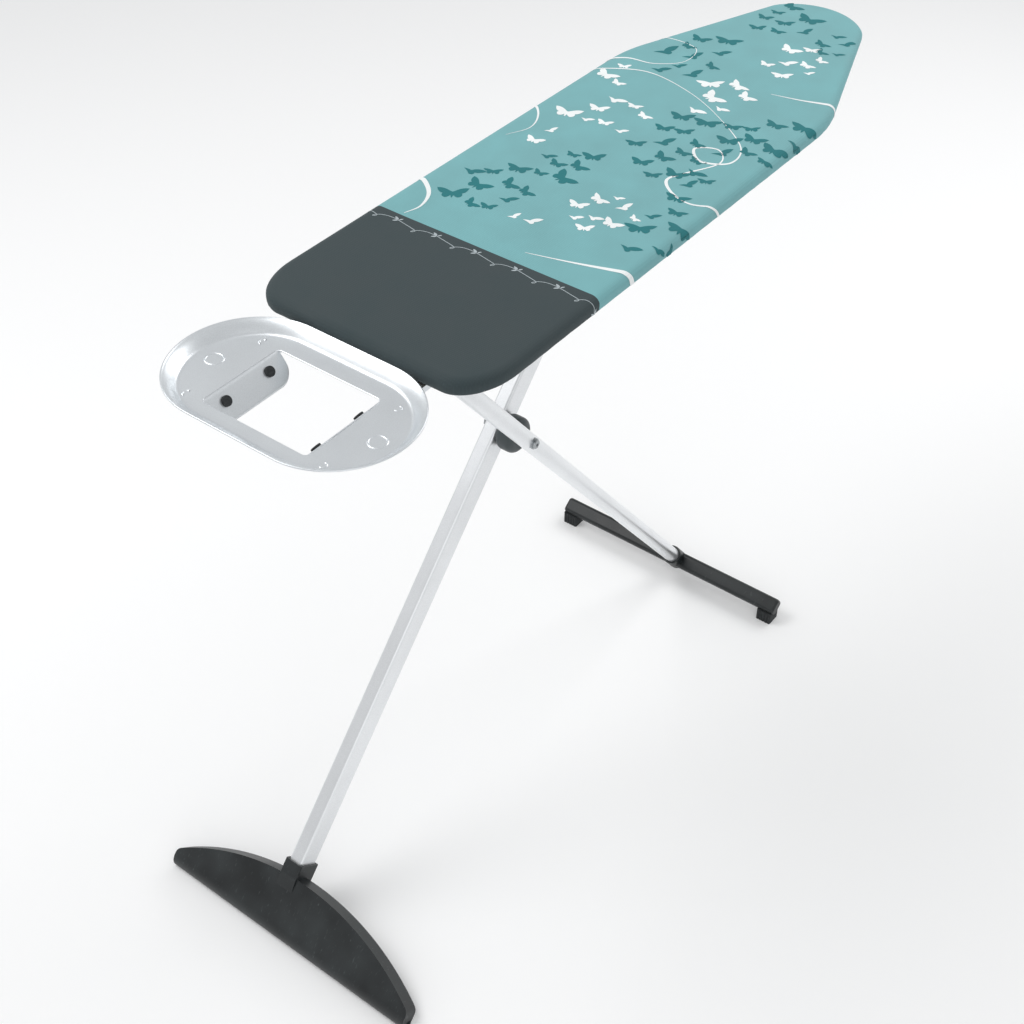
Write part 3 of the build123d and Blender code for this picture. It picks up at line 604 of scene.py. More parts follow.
def side_outline():
    """Closed outline of a butterfly seen from the side, wings half folded."""
    points = [Vector((-0.62, -0.10))]
    points += bezier([points[-1], (-0.30, 0.05), (-0.10, 0.10), (0.02, 0.06)], 5)
    points += bezier([points[-1], (0.10, 0.55), (0.55, 0.85), (0.98, 0.80)], 6)
    points += bezier([points[-1], (0.85, 0.45), (0.75, 0.20), (0.45, 0.02)], 5)
    points += bezier([points[-1], (0.62, -0.12), (0.52, -0.36), (0.30, -0.40)], 5)
    points += bezier([points[-1], (0.10, -0.34), (-0.10, -0.16), (-0.62, -0.10)], 6)[:-1]
    return points


edge_band = 34 * MM
wing_shapes = [butterfly_outline(1.0), butterfly_outline(0.72), side_outline()]


class Print:
    """Collects the motifs of one ink."""

    def __init__(self):
        self.points = []
        self.faces = []

    def add_outline(self, outline, x, y, size, turn):
        """A filled motif, cut into triangles that are small enough to bend."""
        shape = bmesh.new()
        swing = Matrix.Rotation(turn, 2)
        verts = [shape.verts.new((*(swing @ point * size), 0)) for point in outline]
        shape.faces.new(verts)
        bmesh.ops.triangulate(shape, faces=shape.faces)
        if abs(y) > half_width_at(x) - edge_band:
            bmesh.ops.subdivide_edges(shape, edges=shape.edges, cuts=3, use_grid_fill=True)
        start = len(self.points)
        for vert in shape.verts:
            vert.index = len(self.points) - start
            self.points.append(on_cover(x + vert.co.x, y + vert.co.y))
        shape.verts.index_update()
        for face in shape.faces:
            self.faces.append(tuple(start + vert.index for vert in face.verts))
        shape.free()

    def add_ribbon(self, path, widths):
        """A band along a path, as wide as its list of widths says."""
        start = len(self.points)
        for i, point in enumerate(path):
            ahead = path[min(i + 1, len(path) - 1)] - path[max(i - 1, 0)]
            across = Vector((-ahead.y, ahead.x)).normalized()
            share = i / (len(path) - 1) * (len(widths) - 1)
            low = min(int(share), len(widths) - 2)
            width = widths[low] + (widths[low + 1] - widths[low]) * (share - low)
            for side in (-0.5, 0, 0.5):
                spot = point + across * width * side
                self.points.append(on_cover(spot.x, spot.y))
        for i in range(len(path) - 1):
            a = start + 3 * i
            self.faces += [(a, a + 3, a + 4, a + 1), (a + 1, a + 4, a + 5, a + 2)]

    def finish(self, name, material):
        """Makes the ink's piece, facing up."""
        piece = make_piece(name, self.points, self.faces, material, "board")
        shape = bmesh.new()
        shape.from_mesh(piece.data)
        face_up(shape, -0.2)
        shape.to_mesh(piece.data)
        shape.free()
        return piece


# %% Flocks
teal_print = Print()
white_print = Print()
chance = random.Random(12)
size_spread = (0.66, 1.34)
turn_spread = 0.6
closest = 0.95
most_tries = 4000


def add_flock(pigment, x, y, count, length, width, size, heading):
    """Scatters butterflies over an oval, none of them touching another."""
    placed = []
    tries = 0
    while len(placed) < count and tries < most_tries:
        tries += 1
        dx = chance.uniform(-1, 1)
        dy = chance.uniform(-1, 1)
        if dx * dx + dy * dy > 1:
            continue
        big = size * chance.uniform(*size_spread)
        spot = Vector((x + dx * length / 2, y + dy * width / 2))
        if any((spot - other).length < (big + reach) * closest for other, reach in placed):
            continue
        placed.append((spot, big))
        outline = chance.choice(wing_shapes)
        turn = heading + chance.uniform(-turn_spread, turn_spread)
        pigment.add_outline(outline, spot.x, spot.y, big, turn)
    return len(placed)


up_board = -math.pi / 2
flocks = [
    (teal_print, 0.385, 0.092, 11, 0.135, 0.105, 0.0185),
    (teal_print, 0.505, 0.045, 7, 0.095, 0.075, 0.0175),
    (teal_print, 0.655, -0.055, 19, 0.215, 0.125, 0.0215),
    (teal_print, 0.560, -0.125, 4, 0.100, 0.055, 0.0200),
    (teal_print, 0.745, -0.155, 12, 0.155, 0.085, 0.0200),
    (teal_print, 0.430, -0.165, 7, 0.120, 0.080, 0.0190),
    (teal_print, 0.905, 0.080, 13, 0.165, 0.105, 0.0200),
    (teal_print, 1.105, 0.030, 12, 0.125, 0.095, 0.0195),
    (teal_print, 1.075, -0.080, 5, 0.075, 0.060, 0.0180),
    (white_print, 0.655, 0.080, 8, 0.135, 0.120, 0.0185),
    (white_print, 0.425, -0.075, 9, 0.095, 0.095, 0.0140),
    (white_print, 0.815, -0.015, 6, 0.125, 0.095, 0.0190),
    (white_print, 0.985, -0.055, 8, 0.110, 0.085, 0.0155),
    (white_print, 0.780, 0.140, 3, 0.080, 0.050, 0.0160),
    (white_print, 0.345, -0.002, 2, 0.075, 0.055, 0.0150),
    (white_print, 0.565, 0.130, 2, 0.080, 0.045, 0.0180),
]
total = 0
for pigment, x, y, count, length, width, size in flocks:
    total += add_flock(pigment, x, y, count, length, width, size, up_board)
print("butterflies:", total)


# %% [markdown]
# ## Ribbons and the vine
# White ribbons swirl between the flocks. Each is a smooth curve through a few
# spots, with a width that swells and thins like a brush stroke. A thin vine
# with loops and leaf pairs closes the heat zone along its edge.

# %% Ribbons
def smooth_path(spots, steps=18):
    """A curve through the spots (Catmull-Rom), with even steps between them."""
    spots = [Vector(spot) for spot in spots]
    spots = [spots[0] * 2 - spots[1]] + spots + [spots[-1] * 2 - spots[-2]]
    path = []
    for i in range(1, len(spots) - 2):
        a, b, c, d = spots[i - 1:i + 3]
        for step in range(steps):
            t = step / steps
            path.append(0.5 * (2 * b + (c - a) * t + (2 * a - 5 * b + 4 * c - d) * t * t
                               + (3 * b - a - 3 * c + d) * t * t * t))
    path.append(spots[-2])
    return path


ribbons = [
    ([(0.355, 0.203), (0.345, 0.175), (0.322, 0.148), (0.290, 0.136), (0.262, 0.142)],
     [0.006, 0.0075, 0.006, 0.003, 0.001]),
    ([(0.745, 0.205), (0.785, 0.170), (0.815, 0.110), (0.800, 0.030), (0.760, -0.050),
      (0.700, -0.128), (0.650, -0.142), (0.628, -0.105), (0.655, -0.078), (0.672, -0.108),
      (0.640, -0.130), (0.585, -0.105), (0.555, -0.095), (0.530, -0.120), (0.520, -0.160),
      (0.545, -0.205)],
     [0.001, 0.003, 0.0015, 0.001, 0.0025, 0.005, 0.004, 0.002, 0.003, 0.005, 0.003, 0.0045]),
    ([(0.900, -0.205), (0.890, -0.165), (0.878, -0.125), (0.868, -0.080)],
     [0.0085, 0.006, 0.003, 0.0008]),
    ([(0.332, -0.206), (0.318, -0.165), (0.300, -0.110), (0.283, -0.050)],
     [0.0095, 0.0065, 0.003, 0.0008]),
    ([(0.905, 0.190), (0.935, 0.150), (0.930, 0.095), (0.880, 0.085), (0.845, 0.120),
      (0.835, 0.165), (0.800, 0.200)],
     [0.004, 0.002, 0.0012, 0.001, 0.002, 0.0035, 0.005]),
    ([(0.640, 0.205), (0.600, 0.165), (0.560, 0.150), (0.520, 0.165)],
     [0.005, 0.003, 0.0015, 0.0006]),
]
for spots, widths in ribbons:
    white_print.add_ribbon(smooth_path(spots), widths)
print("ribbons:", len(ribbons))


# %% The vine along the heat zone
def leaf(length, width):
    """Closed outline of a pointed leaf along X."""
    upper = bezier([(0, 0), (length * 0.3, width), (length * 0.7, width * 0.8),
                    (length, 0)], 6)
    lower = bezier([(length, 0), (length * 0.7, -width * 0.8), (length * 0.3, -width),
                    (0, 0)], 6)
    return upper + lower[:-1]


vine_print = Print()
vine_x = heat_zone_end - wide_end - 0.019
vine_pitch = 0.068
vine_half = 0.207
vine_swing = 5.8 * MM
vine_ripple = 1.6 * MM
vine_loop = 14.8 * MM
vine_line = 1.1 * MM
leaf_place = 6.2 * MM
steps = 900
vine = []
for i in range(steps + 1):
    run = -vine_half + 2 * vine_half * i / steps
    phase = 2 * math.pi * run / vine_pitch
    vine.append(Vector((vine_x + vine_swing * math.cos(phase)
                        + vine_ripple * math.sin(2 * phase),
                        run + vine_loop * math.sin(phase))))
vine_print.add_ribbon(vine, [vine_line, vine_line])
for number in range(-3, 4):
    y = number * vine_pitch
    for turn, size in ((1.1, 1.0), (2.3, 0.85), (-0.6, 0.7)):
        outline = leaf(10.5 * MM * size, 2.8 * MM * size)
        vine_print.add_outline(outline, vine_x + leaf_place, y, 1.0, turn)

teal_print.finish("print_deep_teal", ink_teal)
white_print.finish("print_white", ink_white)
vine_print.finish("print_vine", ink_pale)
print("print faces:", len(teal_print.faces), len(white_print.faces), len(vine_print.faces))

# %% [markdown]
# ## Metals, plastics and rubber
# The tray and legs are mild steel with a silver baked paint: metal flakes in a
# clear binder, so the surface is metallic but never as sharp as chrome. The
# chassis has a plainer grey coat. Bolts and axles are bright zinc plate. The
# feet are moulded polypropylene, with a fine spark-eroded grain.


# %% Finishes for the hard parts
def silver_paint(name, colour, roughness):
    """Baked paint with metal flakes; flakes are drawn at 0.8 mm to show at all."""
    material, tree, shader = start_material(name, colour, roughness, 0.88)
    flakes = blobs(tree, 0.8 * MM)
    clouds = blobs(tree, 90 * MM)
    sparkle = add(tree, "ShaderNodeMapRange", {0: flakes, 1: 0.35, 2: 0.65, 3: 0.93, 4: 1.05})
    coat = add(tree, "ShaderNodeMapRange", {0: clouds, 1: 0.3, 2: 0.7, 3: 0.97, 4: 1.03})
    both = add(tree, "ShaderNodeMath", {0: sparkle, 1: coat}, operation="MULTIPLY")
    plug(tree, shader, {
        "Base Color": add(tree, "ShaderNodeVectorMath", {0: linear(colour)[:3], "Scale": both},
                          operation="SCALE"),
        "Roughness": add(tree, "ShaderNodeMapRange", {
            0: flakes, 1: 0.3, 2: 0.7, 3: roughness - 0.05, 4: roughness + 0.06}),
        "Normal": add(tree, "ShaderNodeBump", {"Height": flakes, "Distance": 0.02 * MM,
                                               "Strength": 0.35})})
    return material


def moulded_plastic(name, colour, roughness, grain, depth):
    """Injection-moulded plastic: fine grain, slow gloss changes and light scuffs."""
    material, tree, shader = start_material(name, colour, roughness)
    fine = blobs(tree, grain, 3.0)
    slow = blobs(tree, 70 * MM)
    scuffs = blobs(tree, 9 * MM, 6.0, (1, 3, 1))
    faded = add(tree, "ShaderNodeMapRange", {0: slow, 1: 0.35, 2: 0.7, 3: 0.0, 4: 0.10})
    base = add(tree, "ShaderNodeMix", {0: faded, 6: colour, 7: "#6E787A"}, data_type="RGBA")
    scraped = add(tree, "ShaderNodeMapRange", {0: scuffs, 1: 0.62, 2: 0.80, 3: 0.0, 4: 0.18})
    worn = add(tree, "ShaderNodeMix", {0: scraped, 6: base.outputs[2], 7: "#8A9496"},
               data_type="RGBA")
    plug(tree, shader, {
        "Base Color": worn.outputs[2],
        "Roughness": add(tree, "ShaderNodeMapRange", {
            0: slow, 1: 0.3, 2: 0.7, 3: roughness - 0.06, 4: roughness + 0.08}),
        "Normal": add(tree, "ShaderNodeBump", {"Height": fine, "Distance": depth,
                                               "Strength": 0.5})})
    return material


leg_silver = silver_paint("silver baked paint on tube", "#ECEEF0", 0.34)
tray_silver = silver_paint("silver baked paint on pressed steel", "#E2E6E9", 0.33)
chassis_grey = silver_paint("grey baked paint on formed steel", "#8D9396", 0.45)
polypropylene = moulded_plastic("moulded polypropylene", "#0C1113", 0.42, 0.9 * MM, 0.05 * MM)
grip_plastic = moulded_plastic("moulded grip plastic", "#15191B", 0.55, 1.2 * MM, 0.08 * MM)
nylon = moulded_plastic("natural nylon", "#C9C6BB", 0.42, 0.9 * MM, 0.03 * MM)

rubber, tree, shader = start_material("soft black rubber", "#1F2224", 0.82)
dust = add(tree, "ShaderNodeMapRange", {0: blobs(tree, 3 * MM, 5.0), 1: 0.4, 2: 0.8,
                                        3: 0.0, 4: 0.3})
dusty = add(tree, "ShaderNodeMix", {0: dust, 6: "#1F2224", 7: "#55595A"}, data_type="RGBA")
plug(tree, shader, {
    "Base Color": dusty.outputs[2],
    "Normal": add(tree, "ShaderNodeBump", {"Height": blobs(tree, 0.9 * MM),
                                           "Distance": 0.08 * MM})})


def plated_steel(name, colour, roughness, stretch):
    """Zinc plate over drawn or turned steel, with faint draw lines."""
    material, tree, shader = start_material(name, colour, roughness, 1.0)
    lines = blobs(tree, 2 * MM, 3.0, stretch)
    plug(tree, shader, {
        "Roughness": add(tree, "ShaderNodeMapRange", {
            0: lines, 1: 0.3, 2: 0.7, 3: roughness - 0.08, 4: roughness + 0.12}),
        "Normal": add(tree, "ShaderNodeBump", {"Height": lines, "Distance": 0.02 * MM,
                                               "Strength": 0.4})})
    return material


zinc = plated_steel("bright zinc plate", "#A9ADB0", 0.28, (1, 0.1, 1))
spring_wire = plated_steel("drawn spring wire", "#8B8F92", 0.32, (1, 1, 1))

finish_of_cad = {"frame_paint": chassis_grey, "tray_paint": tray_silver,
                 "leg_paint": leg_silver, "dark_plastic": polypropylene,
                 "rubber": rubber, "nylon": nylon, "spring_steel": spring_wire,
                 "plated_steel": zinc, "cover_fabric": cover_cloth,
                 "hem_elastic": binding, "pad_felt": felt}
for name, node in nodes.items():
    for place in node.material_slots:
        given = place.material.name.split(".")[0] if place.material else ""
        place.material = finish_of_cad.get(given, chassis_grey)
        if given not in finish_of_cad:
            print("no finish named for", name, given)
for place in nodes["release_grip"].material_slots:
    place.material = grip_plastic
print("finishes given to", len(nodes), "nodes")

# %% [markdown]
# ## The pivot disc
# Between the legs sits a moulded disc, with full round edges that the mould
# gives it. The CAD model has the plain disc; a profile of a few rings, turned
# round the leg's pivot, gives it the soft edge. Its saddle is hidden by the
# round tube, which lies in it.

# %% Pivot disc
disc_low, disc_high = corners("pivot_disc")
disc_middle = (disc_low + disc_high) / 2
disc_radius = (disc_high.x - disc_low.x) / 2
disc_round = 11 * MM
disc_steps = 8
disc_segments = 72
pivot_plastic = moulded_plastic("moulded grey polypropylene", "#343C3F", 0.40,
                                0.9 * MM, 0.05 * MM)
profile = []
for end, y in ((-1, disc_low.y), (1, disc_high.y)):
    quarter = [math.pi / 2 * step / disc_steps for step in range(disc_steps + 1)]
    curve = [(disc_radius - disc_round * (1 - math.sin(angle)),
              y - end * disc_round * (1 - math.cos(angle))) for angle in quarter]
    profile += curve if end < 0 else curve[::-1]
points = [Vector((disc_middle.x, disc_low.y, disc_middle.z)),
          Vector((disc_middle.x, disc_high.y, disc_middle.z))]
for radius, y in profile:
    for segment in range(disc_segments):
        angle = 2 * math.pi * segment / disc_segments
        points.append(Vector((disc_middle.x + radius * math.cos(angle), y,
                              disc_middle.z + radius * math.sin(angle))))
faces = []
for number in range(1, len(profile)):
    faces += bridge(2 + (number - 1) * disc_segments, 2 + number * disc_segments,
                    disc_segments)
last = 2 + (len(profile) - 1) * disc_segments
for segment in range(disc_segments):
    following = (segment + 1) % disc_segments
    faces.append((0, 2 + segment, 2 + following))
    faces.append((1, last + following, last + segment))
disc = make_piece("rounded_pivot_disc", points, faces, pivot_plastic, "round_leg")
recalculate(disc)
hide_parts("pivot_disc")
print("pivot disc:", round(disc_radius * 2000, 1), "mm across")

# %% [markdown]
# ## The pressed iron tray
# The tray is one sheet, pressed to a pan with a broad flare and a rolled edge,
# then pierced and folded: the opening's two ends lean in as flaps. It could be
# cut from solids, as in the CAD model, but rings of points along the pressing's
# profile give it the soft corners of drawn sheet. Solidify adds the thickness.

# %% Tray pan
tray_low, tray_high = corners("iron_tray")
tray_middle_x = (tray_low.x + tray_high.x) / 2
tray_half_length = (tray_high.y - tray_low.y) / 2
tray_radius = (tray_high.x - tray_low.x) / 2
floor_z = tray_high.z - 15.3 * MM
sheet = 1.2 * MM
opening_x = tray_middle_x - 3.5 * MM
opening_half_x = 66 * MM
opening_half_y = 85 * MM
straight_steps = 14
turn_steps = 44
mark_ring_y = 134 * MM
mark_crescent_y = 111 * MM


def stadium(inset, z):
    """Ring of points round a long hole shape: two straight sides, two half circles."""
    radius = tray_radius - inset
    reach_y = tray_half_length - tray_radius
    points = []
    for side in (1, -1):
        for i in range(straight_steps):
            y = side * reach_y * (2 * i / straight_steps - 1)
            points.append(Vector((tray_middle_x + side * radius, y, z)))
        for i in range(turn_steps):
            angle = math.pi * i / turn_steps
            points.append(Vector((tray_middle_x + side * radius * math.cos(angle),
                                  side * (reach_y + radius * math.sin(angle)), z)))
    return points


def opening_ring(grow, z):
    """The same number of points round the opening, a rectangle with small corners."""
    corner = 8 * MM
    half_x = opening_half_x + grow
    half_y = opening_half_y + 1.5 * MM
    corner_steps = 6
    edge_steps = turn_steps - 2 * corner_steps
    points = []
    for side in (1, -1):
        for i in range(straight_steps):
            y = side * (half_y - corner) * (2 * i / straight_steps - 1)
            points.append(Vector((opening_x + side * half_x, y, z)))
        for i in range(turn_steps):
            if i < corner_steps:
                angle = math.pi / 2 * i / corner_steps
                x = half_x - corner + corner * math.cos(angle)
                y = half_y - corner + corner * math.sin(angle)
            elif i < corner_steps + edge_steps:
                share = (i - corner_steps) / edge_steps
                x = (half_x - corner) * (1 - 2 * share)
                y = half_y
            else:
                angle = math.pi / 2 * (i - corner_steps - edge_steps) / corner_steps
                x = -(half_x - corner) - corner * math.sin(angle)
                y = half_y - corner + corner * math.cos(angle)
            points.append(Vector((opening_x + side * x, side * y, z)))
    return points


pressing = [(22.0, 0.0), (19.6, 0.25), (17.8, 1.2), (16.2, 2.9), (13.4, 6.1), (9.0, 10.2),
            (5.2, 13.0), (3.6, 13.8), (2.6, 14.3), (1.9, 15.0), (1.2, 15.3), (0.5, 15.0),
            (0.0, 14.2), (0.2, 13.3), (0.8, 12.8)]
rings = [opening_ring(0.0, floor_z - 1.1 * MM), opening_ring(0.25 * MM, floor_z - 0.4 * MM),
         opening_ring(1.0 * MM, floor_z)]
inner_edge = rings[-1]
outer_edge = stadium(pressing[0][0] * MM, floor_z)
rings += [[a.lerp(b, share) for a, b in zip(inner_edge, outer_edge)]
          for share in (0.04, 0.1, 0.5)]
rings += [stadium(inset * MM, floor_z + rise * MM) for inset, rise in pressing]
points, faces = skin(rings)
print("tray rings:", len(rings))

# %% Tray flaps
flap_lean = math.radians(37.6)
flap_length = 43.5 * MM
flap_corner = 24 * MM
fold_radius = 3 * MM
fold_angle = math.pi / 2 - flap_lean
columns = 30
rows = 14


def flap_point(along, x, side, back=0.0):
    """A point of the flap, by its distance from the start of the fold."""
    start_y = opening_half_y + fold_radius * math.tan(fold_angle / 2)
    arc = fold_radius * fold_angle
    angle = min(along / fold_radius, fold_angle)
    y = start_y - fold_radius * math.sin(angle)
    z = -fold_radius * (1 - math.cos(angle))
    rest = max(0.0, along - arc)
    y -= rest * math.cos(fold_angle)
    z -= rest * math.sin(fold_angle)
    y += back * math.sin(angle)
    z -= back * math.cos(angle)
    return Vector((opening_x + x, side * y, floor_z + z))


for side in (1, -1):
    start = len(points)
    for column in range(columns + 3):
        share = min(max(column - 1, 0), columns) / columns
        x = opening_half_x * math.sin((share - 0.5) * math.pi)
        from_end = opening_half_x - abs(x)
        short = max(0.0, flap_corner - from_end)
        length = flap_length - flap_corner + math.sqrt(flap_corner ** 2 - short ** 2)
        back = 2.6 * MM if column in (0, columns + 2) else 0.0
        for row in range(rows + 1):
            along = length * row / rows
            bend = back * min(1.0, max(0.0, along / length - 0.1) / 0.2)
            points.append(flap_point(along, x, side, bend))
    for column in range(columns + 2):
        for row in range(rows):
            a = start + column * (rows + 1) + row
            b = a + rows + 1
            faces.append((a, b, b + 1, a + 1) if side > 0 else (a, a + 1, b + 1, b))

tray = make_piece("pressed_iron_tray", points, faces, tray_silver, "board")
shape = bmesh.new()
shape.from_mesh(tray.data)
bmesh.ops.remove_doubles(shape, verts=shape.verts, dist=merge_distance)
bmesh.ops.recalc_face_normals(shape, faces=shape.faces)
waiting = set(shape.faces)
while waiting:
    island = {waiting.pop()}
    edge_of_island = list(island)
    while edge_of_island:
        for edge in edge_of_island.pop().edges:
            fresh = waiting.intersection(edge.link_faces)
            waiting -= fresh
            island |= fresh
            edge_of_island += fresh
    if sum(face.normal.z * face.calc_area() for face in island) < 0:
        bmesh.ops.reverse_faces(shape, faces=list(island))
shape.to_mesh(tray.data)
shape.free()
thicken(tray, sheet)
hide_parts("iron_tray")
print("tray faces:", len(tray.data.polygons))

# %% Pressed marks
def ridge(x, y, radius, width, height, first, last, steps):
    """A low rounded ridge along an arc, pressed up from the tray's floor."""
    made = []
    for i in range(steps + 1):
        angle = first + (last - first) * i / steps
        way = Vector((math.cos(angle), math.sin(angle), 0))
        for j in range(7):
            across = (j / 6 - 0.5) * width
            rise = height * math.cos(math.pi * (j / 6 - 0.5)) - 0.05 * MM
            made.append(Vector((x, y, floor_z + rise)) + way * (radius + across))
    quads = [(i * 7 + j, i * 7 + j + 1, (i + 1) * 7 + j + 1, (i + 1) * 7 + j)
             for i in range(steps) for j in range(6)]
    return made, quads


points = []
faces = []
for side in (1, -1):
    marks = [(tray_middle_x, mark_ring_y, 11.8 * MM, 0.0, 2 * math.pi, 48)]
    for x in (opening_x - opening_half_x, opening_x + opening_half_x):
        marks.append((x, mark_crescent_y, 5 * MM, 0.0, math.pi, 20))
    for x, y, radius, first, last, steps in marks:
        made, quads = ridge(x, side * y, radius, 3.0 * MM, 0.9 * MM,
                            side * first, side * last, steps)
        start = len(points)
        points += made
        faces += [tuple(start + i for i in quad) for quad in quads]
marks_piece = make_piece("tray_pressed_marks", points, faces, tray_silver, "board")
shape = bmesh.new()
shape.from_mesh(marks_piece.data)
bmesh.ops.remove_doubles(shape, verts=shape.verts, dist=merge_distance)
face_up(shape)
shape.to_mesh(marks_piece.data)
shape.free()
print("pressed marks:", len(faces), "faces")

# %% [markdown]
# ## The perforated deck
# Steam leaves through the deck, a steel sheet with a honeycomb of holes. This
# repeats, so Geometry Nodes make it: a sheared grid is cut into triangles, its
# dual mesh is a field of hexagons, and each hexagon is shrunk and taken out,
# which leaves the webs between the holes. The field is then trimmed to the
# board's outline and framed by a plain margin.


# %% Honeycomb by Geometry Nodes
def new_tree(name, inputs):
    """An empty Geometry Nodes tree with a mesh in, a mesh out and named sizes."""
    group = bpy.data.node_groups.new(name, "GeometryNodeTree")
    group.interface.new_socket("Geometry", in_out="INPUT", socket_type="NodeSocketGeometry")
    for label, kind in inputs:
        group.interface.new_socket(label, in_out="INPUT", socket_type=kind)
    group.interface.new_socket("Geometry", in_out="OUTPUT", socket_type="NodeSocketGeometry")
    return group, add(group, "NodeGroupInput"), add(group, "NodeGroupOutput")


def grow_piece(name, group, base, values):
    """Runs a tree on a base mesh and returns the plain mesh that it makes."""
    seed = bpy.data.objects.new(name + "_base", base)
    bpy.context.scene.collection.objects.link(seed)
    modifier = seed.modifiers.new("tree", "NODES")
    modifier.node_group = group
    for item in group.interface.items_tree:
        if item.in_out == "INPUT" and item.name in values:
            modifier[item.identifier] = values[item.name]
    graph = bpy.context.evaluated_depsgraph_get()
    made = bpy.data.meshes.new_from_object(seed.evaluated_get(graph))
    bpy.data.objects.remove(seed)
    return made


comb, comb_in, comb_out = new_tree("honeycomb", [
    ("Pitch", "NodeSocketFloat"), ("Columns", "NodeSocketInt"), ("Rows", "NodeSocketInt"),
    ("Hole share", "NodeSocketFloat"), ("Finish", "NodeSocketMaterial")])
pitch_socket = comb_in.outputs["Pitch"]
row_step = add(comb, "ShaderNodeMath", {0: pitch_socket, 1: math.sqrt(3) / 2},
               operation="MULTIPLY")
size_x = add(comb, "ShaderNodeMath", {0: pitch_socket, 1: comb_in.outputs["Columns"]},
             operation="MULTIPLY")
size_y = add(comb, "ShaderNodeMath", {0: row_step.outputs[0], 1: comb_in.outputs["Rows"]},
             operation="MULTIPLY")
count_x = add(comb, "ShaderNodeMath", {0: comb_in.outputs["Columns"], 1: 1}, operation="ADD")
count_y = add(comb, "ShaderNodeMath", {0: comb_in.outputs["Rows"], 1: 1}, operation="ADD")
grid = add(comb, "GeometryNodeMeshGrid", {
    "Size X": size_x.outputs[0], "Size Y": size_y.outputs[0],
    "Vertices X": count_x.outputs[0], "Vertices Y": count_y.outputs[0]})
where = add(comb, "ShaderNodeSeparateXYZ",
            {"Vector": add(comb, "GeometryNodeInputPosition").outputs[0]})
lean = add(comb, "ShaderNodeMath", {0: where.outputs["Y"], 1: -1 / math.sqrt(3)},
           operation="MULTIPLY")
shear = add(comb, "ShaderNodeCombineXYZ", {"X": lean.outputs[0]})
sheared = add(comb, "GeometryNodeSetPosition", {"Geometry": grid.outputs["Mesh"],
                                                "Offset": shear.outputs[0]})
triangles = add(comb, "GeometryNodeTriangulate", {"Mesh": sheared.outputs["Geometry"]})
hexagons = add(comb, "GeometryNodeDualMesh", {"Mesh": triangles.outputs["Mesh"]})
raised = add(comb, "GeometryNodeExtrudeMesh", {"Mesh": hexagons.outputs[0],
                                               "Offset Scale": 0.0}, mode="FACES")
shrunk = add(comb, "GeometryNodeScaleElements", {
    "Geometry": raised.outputs["Mesh"], "Selection": raised.outputs["Top"],
    "Scale": comb_in.outputs["Hole share"]})
webs = add(comb, "GeometryNodeDeleteGeometry", {
    "Geometry": shrunk.outputs[0], "Selection": raised.outputs["Top"]}, domain="FACE")
real = add(comb, "GeometryNodeRealizeInstances", {"Geometry": webs.outputs[0]})
painted = add(comb, "GeometryNodeSetMaterial", {"Geometry": real.outputs[0],
                                                "Material": comb_in.outputs["Finish"]})
comb.links.new(painted.outputs[0], comb_out.inputs[0])

deck_low, deck_high = corners("deck_panel")
hole_pitch = 23 * MM
base = bpy.data.meshes.new("deck_base")
field = grow_piece("deck", comb, base, {
    "Pitch": hole_pitch, "Columns": 76, "Rows": 24, "Hole share": 0.72,
    "Finish": chassis_grey})
shape = bmesh.new()
shape.from_mesh(field)
bmesh.ops.translate(shape, verts=shape.verts,
                    vec=Vector((wide_end + board_length / 2, 0, deck_high.z)))
margin = 17 * MM
frame_outside = 3.8 * MM
frame_inside = 24 * MM
cut = []
for face in shape.faces:
    centre = face.calc_center_median()
    along_board = centre.x - wide_end
    inside = (half_width_at(along_board) - abs(centre.y) > margin
              and margin < along_board < board_length - margin)
    if not inside:
        cut.append(face)
bmesh.ops.delete(shape, geom=cut, context="FACES")
bmesh.ops.remove_doubles(shape, verts=shape.verts, dist=0.0001)
outer = [shape.verts.new(point) for point in ring(frame_outside, deck_high.z - 0.0001)]
inner = [shape.verts.new(point) for point in ring(frame_inside, deck_high.z - 0.0001)]
for i in range(len(outer)):
    after = (i + 1) % len(outer)
    shape.faces.new((outer[i], outer[after], inner[after], inner[i]))
face_up(shape)
deck_mesh = bpy.data.meshes.new("perforated_deck")
shape.to_mesh(deck_mesh)
shape.free()
deck_mesh.materials.clear()
deck_mesh.materials.append(chassis_grey)
deck = bpy.data.objects.new("perforated_deck", deck_mesh)
bpy.context.scene.collection.objects.link(deck)
thicken(deck, deck_high.z - deck_low.z - 0.2 * MM)
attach(deck, "board")
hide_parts("deck_panel")
print("deck faces:", len(deck_mesh.polygons))

# %% [markdown]
# ## Stitches
# The binding is sewn to the cover with one row of stitches underneath. They
# follow a path, so Geometry Nodes lay them: the path becomes a curve, it is
# divided into even steps, and a small thread bead is set at each, in line with
# the curve.

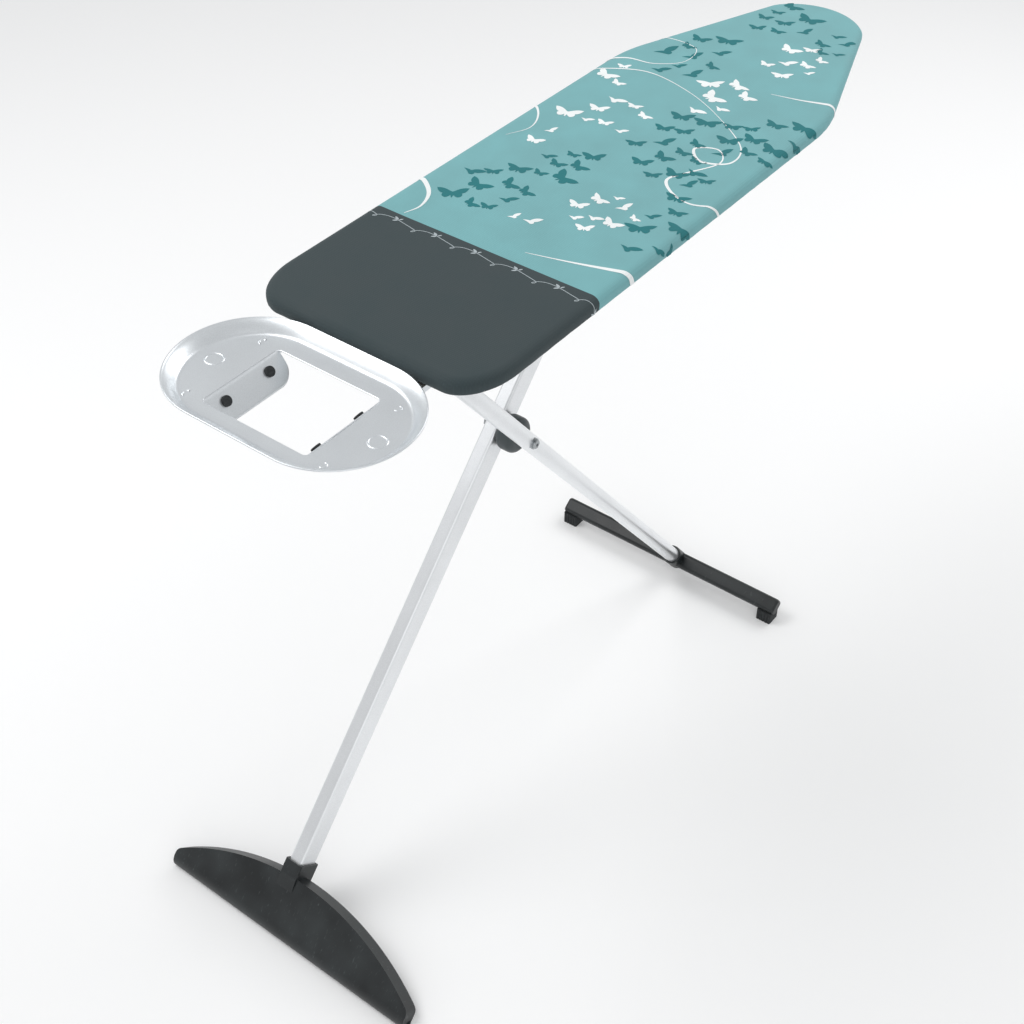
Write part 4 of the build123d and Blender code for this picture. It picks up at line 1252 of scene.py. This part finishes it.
# %% Stitches by Geometry Nodes
thread_white, tree, shader = start_material("polyester sewing thread", "#C9C4B4", 0.6)
twist = blobs(tree, 0.5 * MM, 2.0, (1, 1, 4))
plies = add(tree, "ShaderNodeMix", {0: twist, 6: "#B3AD9A", 7: "#DAD6C9"}, data_type="RGBA")
plug(tree, shader, {
    "Base Color": plies.outputs[2],
    "Normal": add(tree, "ShaderNodeBump", {"Height": twist, "Distance": 0.05 * MM})})

seam, seam_in, seam_out = new_tree("stitches", [
    ("Step", "NodeSocketFloat"), ("Length", "NodeSocketFloat"),
    ("Thickness", "NodeSocketFloat"), ("Finish", "NodeSocketMaterial")])
curve = add(seam, "GeometryNodeMeshToCurve", {"Mesh": seam_in.outputs["Geometry"]})
steps = add(seam, "GeometryNodeResampleCurve", {"Curve": curve.outputs[0],
                                                "Length": seam_in.outputs["Step"]},
            mode="LENGTH")
bead = add(seam, "GeometryNodeMeshUVSphere", {"Segments": 6, "Rings": 4, "Radius": 0.5})
size = add(seam, "ShaderNodeCombineXYZ", {"X": seam_in.outputs["Length"],
                                          "Y": seam_in.outputs["Thickness"],
                                          "Z": seam_in.outputs["Thickness"]})
turned = add(seam, "FunctionNodeAlignRotationToVector",
             {"Vector": add(seam, "GeometryNodeInputTangent").outputs[0]}, axis="X")
laid = add(seam, "GeometryNodeInstanceOnPoints", {
    "Points": steps.outputs[0], "Instance": bead.outputs["Mesh"],
    "Rotation": turned.outputs[0], "Scale": size.outputs[0]})
real = add(seam, "GeometryNodeRealizeInstances", {"Geometry": laid.outputs[0]})
painted = add(seam, "GeometryNodeSetMaterial", {"Geometry": real.outputs[0],
                                                "Material": seam_in.outputs["Finish"]})
seam.links.new(painted.outputs[0], seam_out.inputs[0])

path = bpy.data.meshes.new("seam_path")
loop = ring(7 * MM, board_low.z - 0.0001)
path.from_pydata([tuple(point) for point in loop],
                 [(i, (i + 1) % len(loop)) for i in range(len(loop))], [])
stitch_mesh = grow_piece("stitches", seam, path, {
    "Step": 5 * MM, "Length": 3.6 * MM, "Thickness": 0.8 * MM, "Finish": thread_white})
stitch_mesh.materials.clear()
stitch_mesh.materials.append(thread_white)
stitches = bpy.data.objects.new("hem_stitches", stitch_mesh)
bpy.context.scene.collection.objects.link(stitches)
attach(stitches, "board")
print("stitch faces:", len(stitch_mesh.polygons))
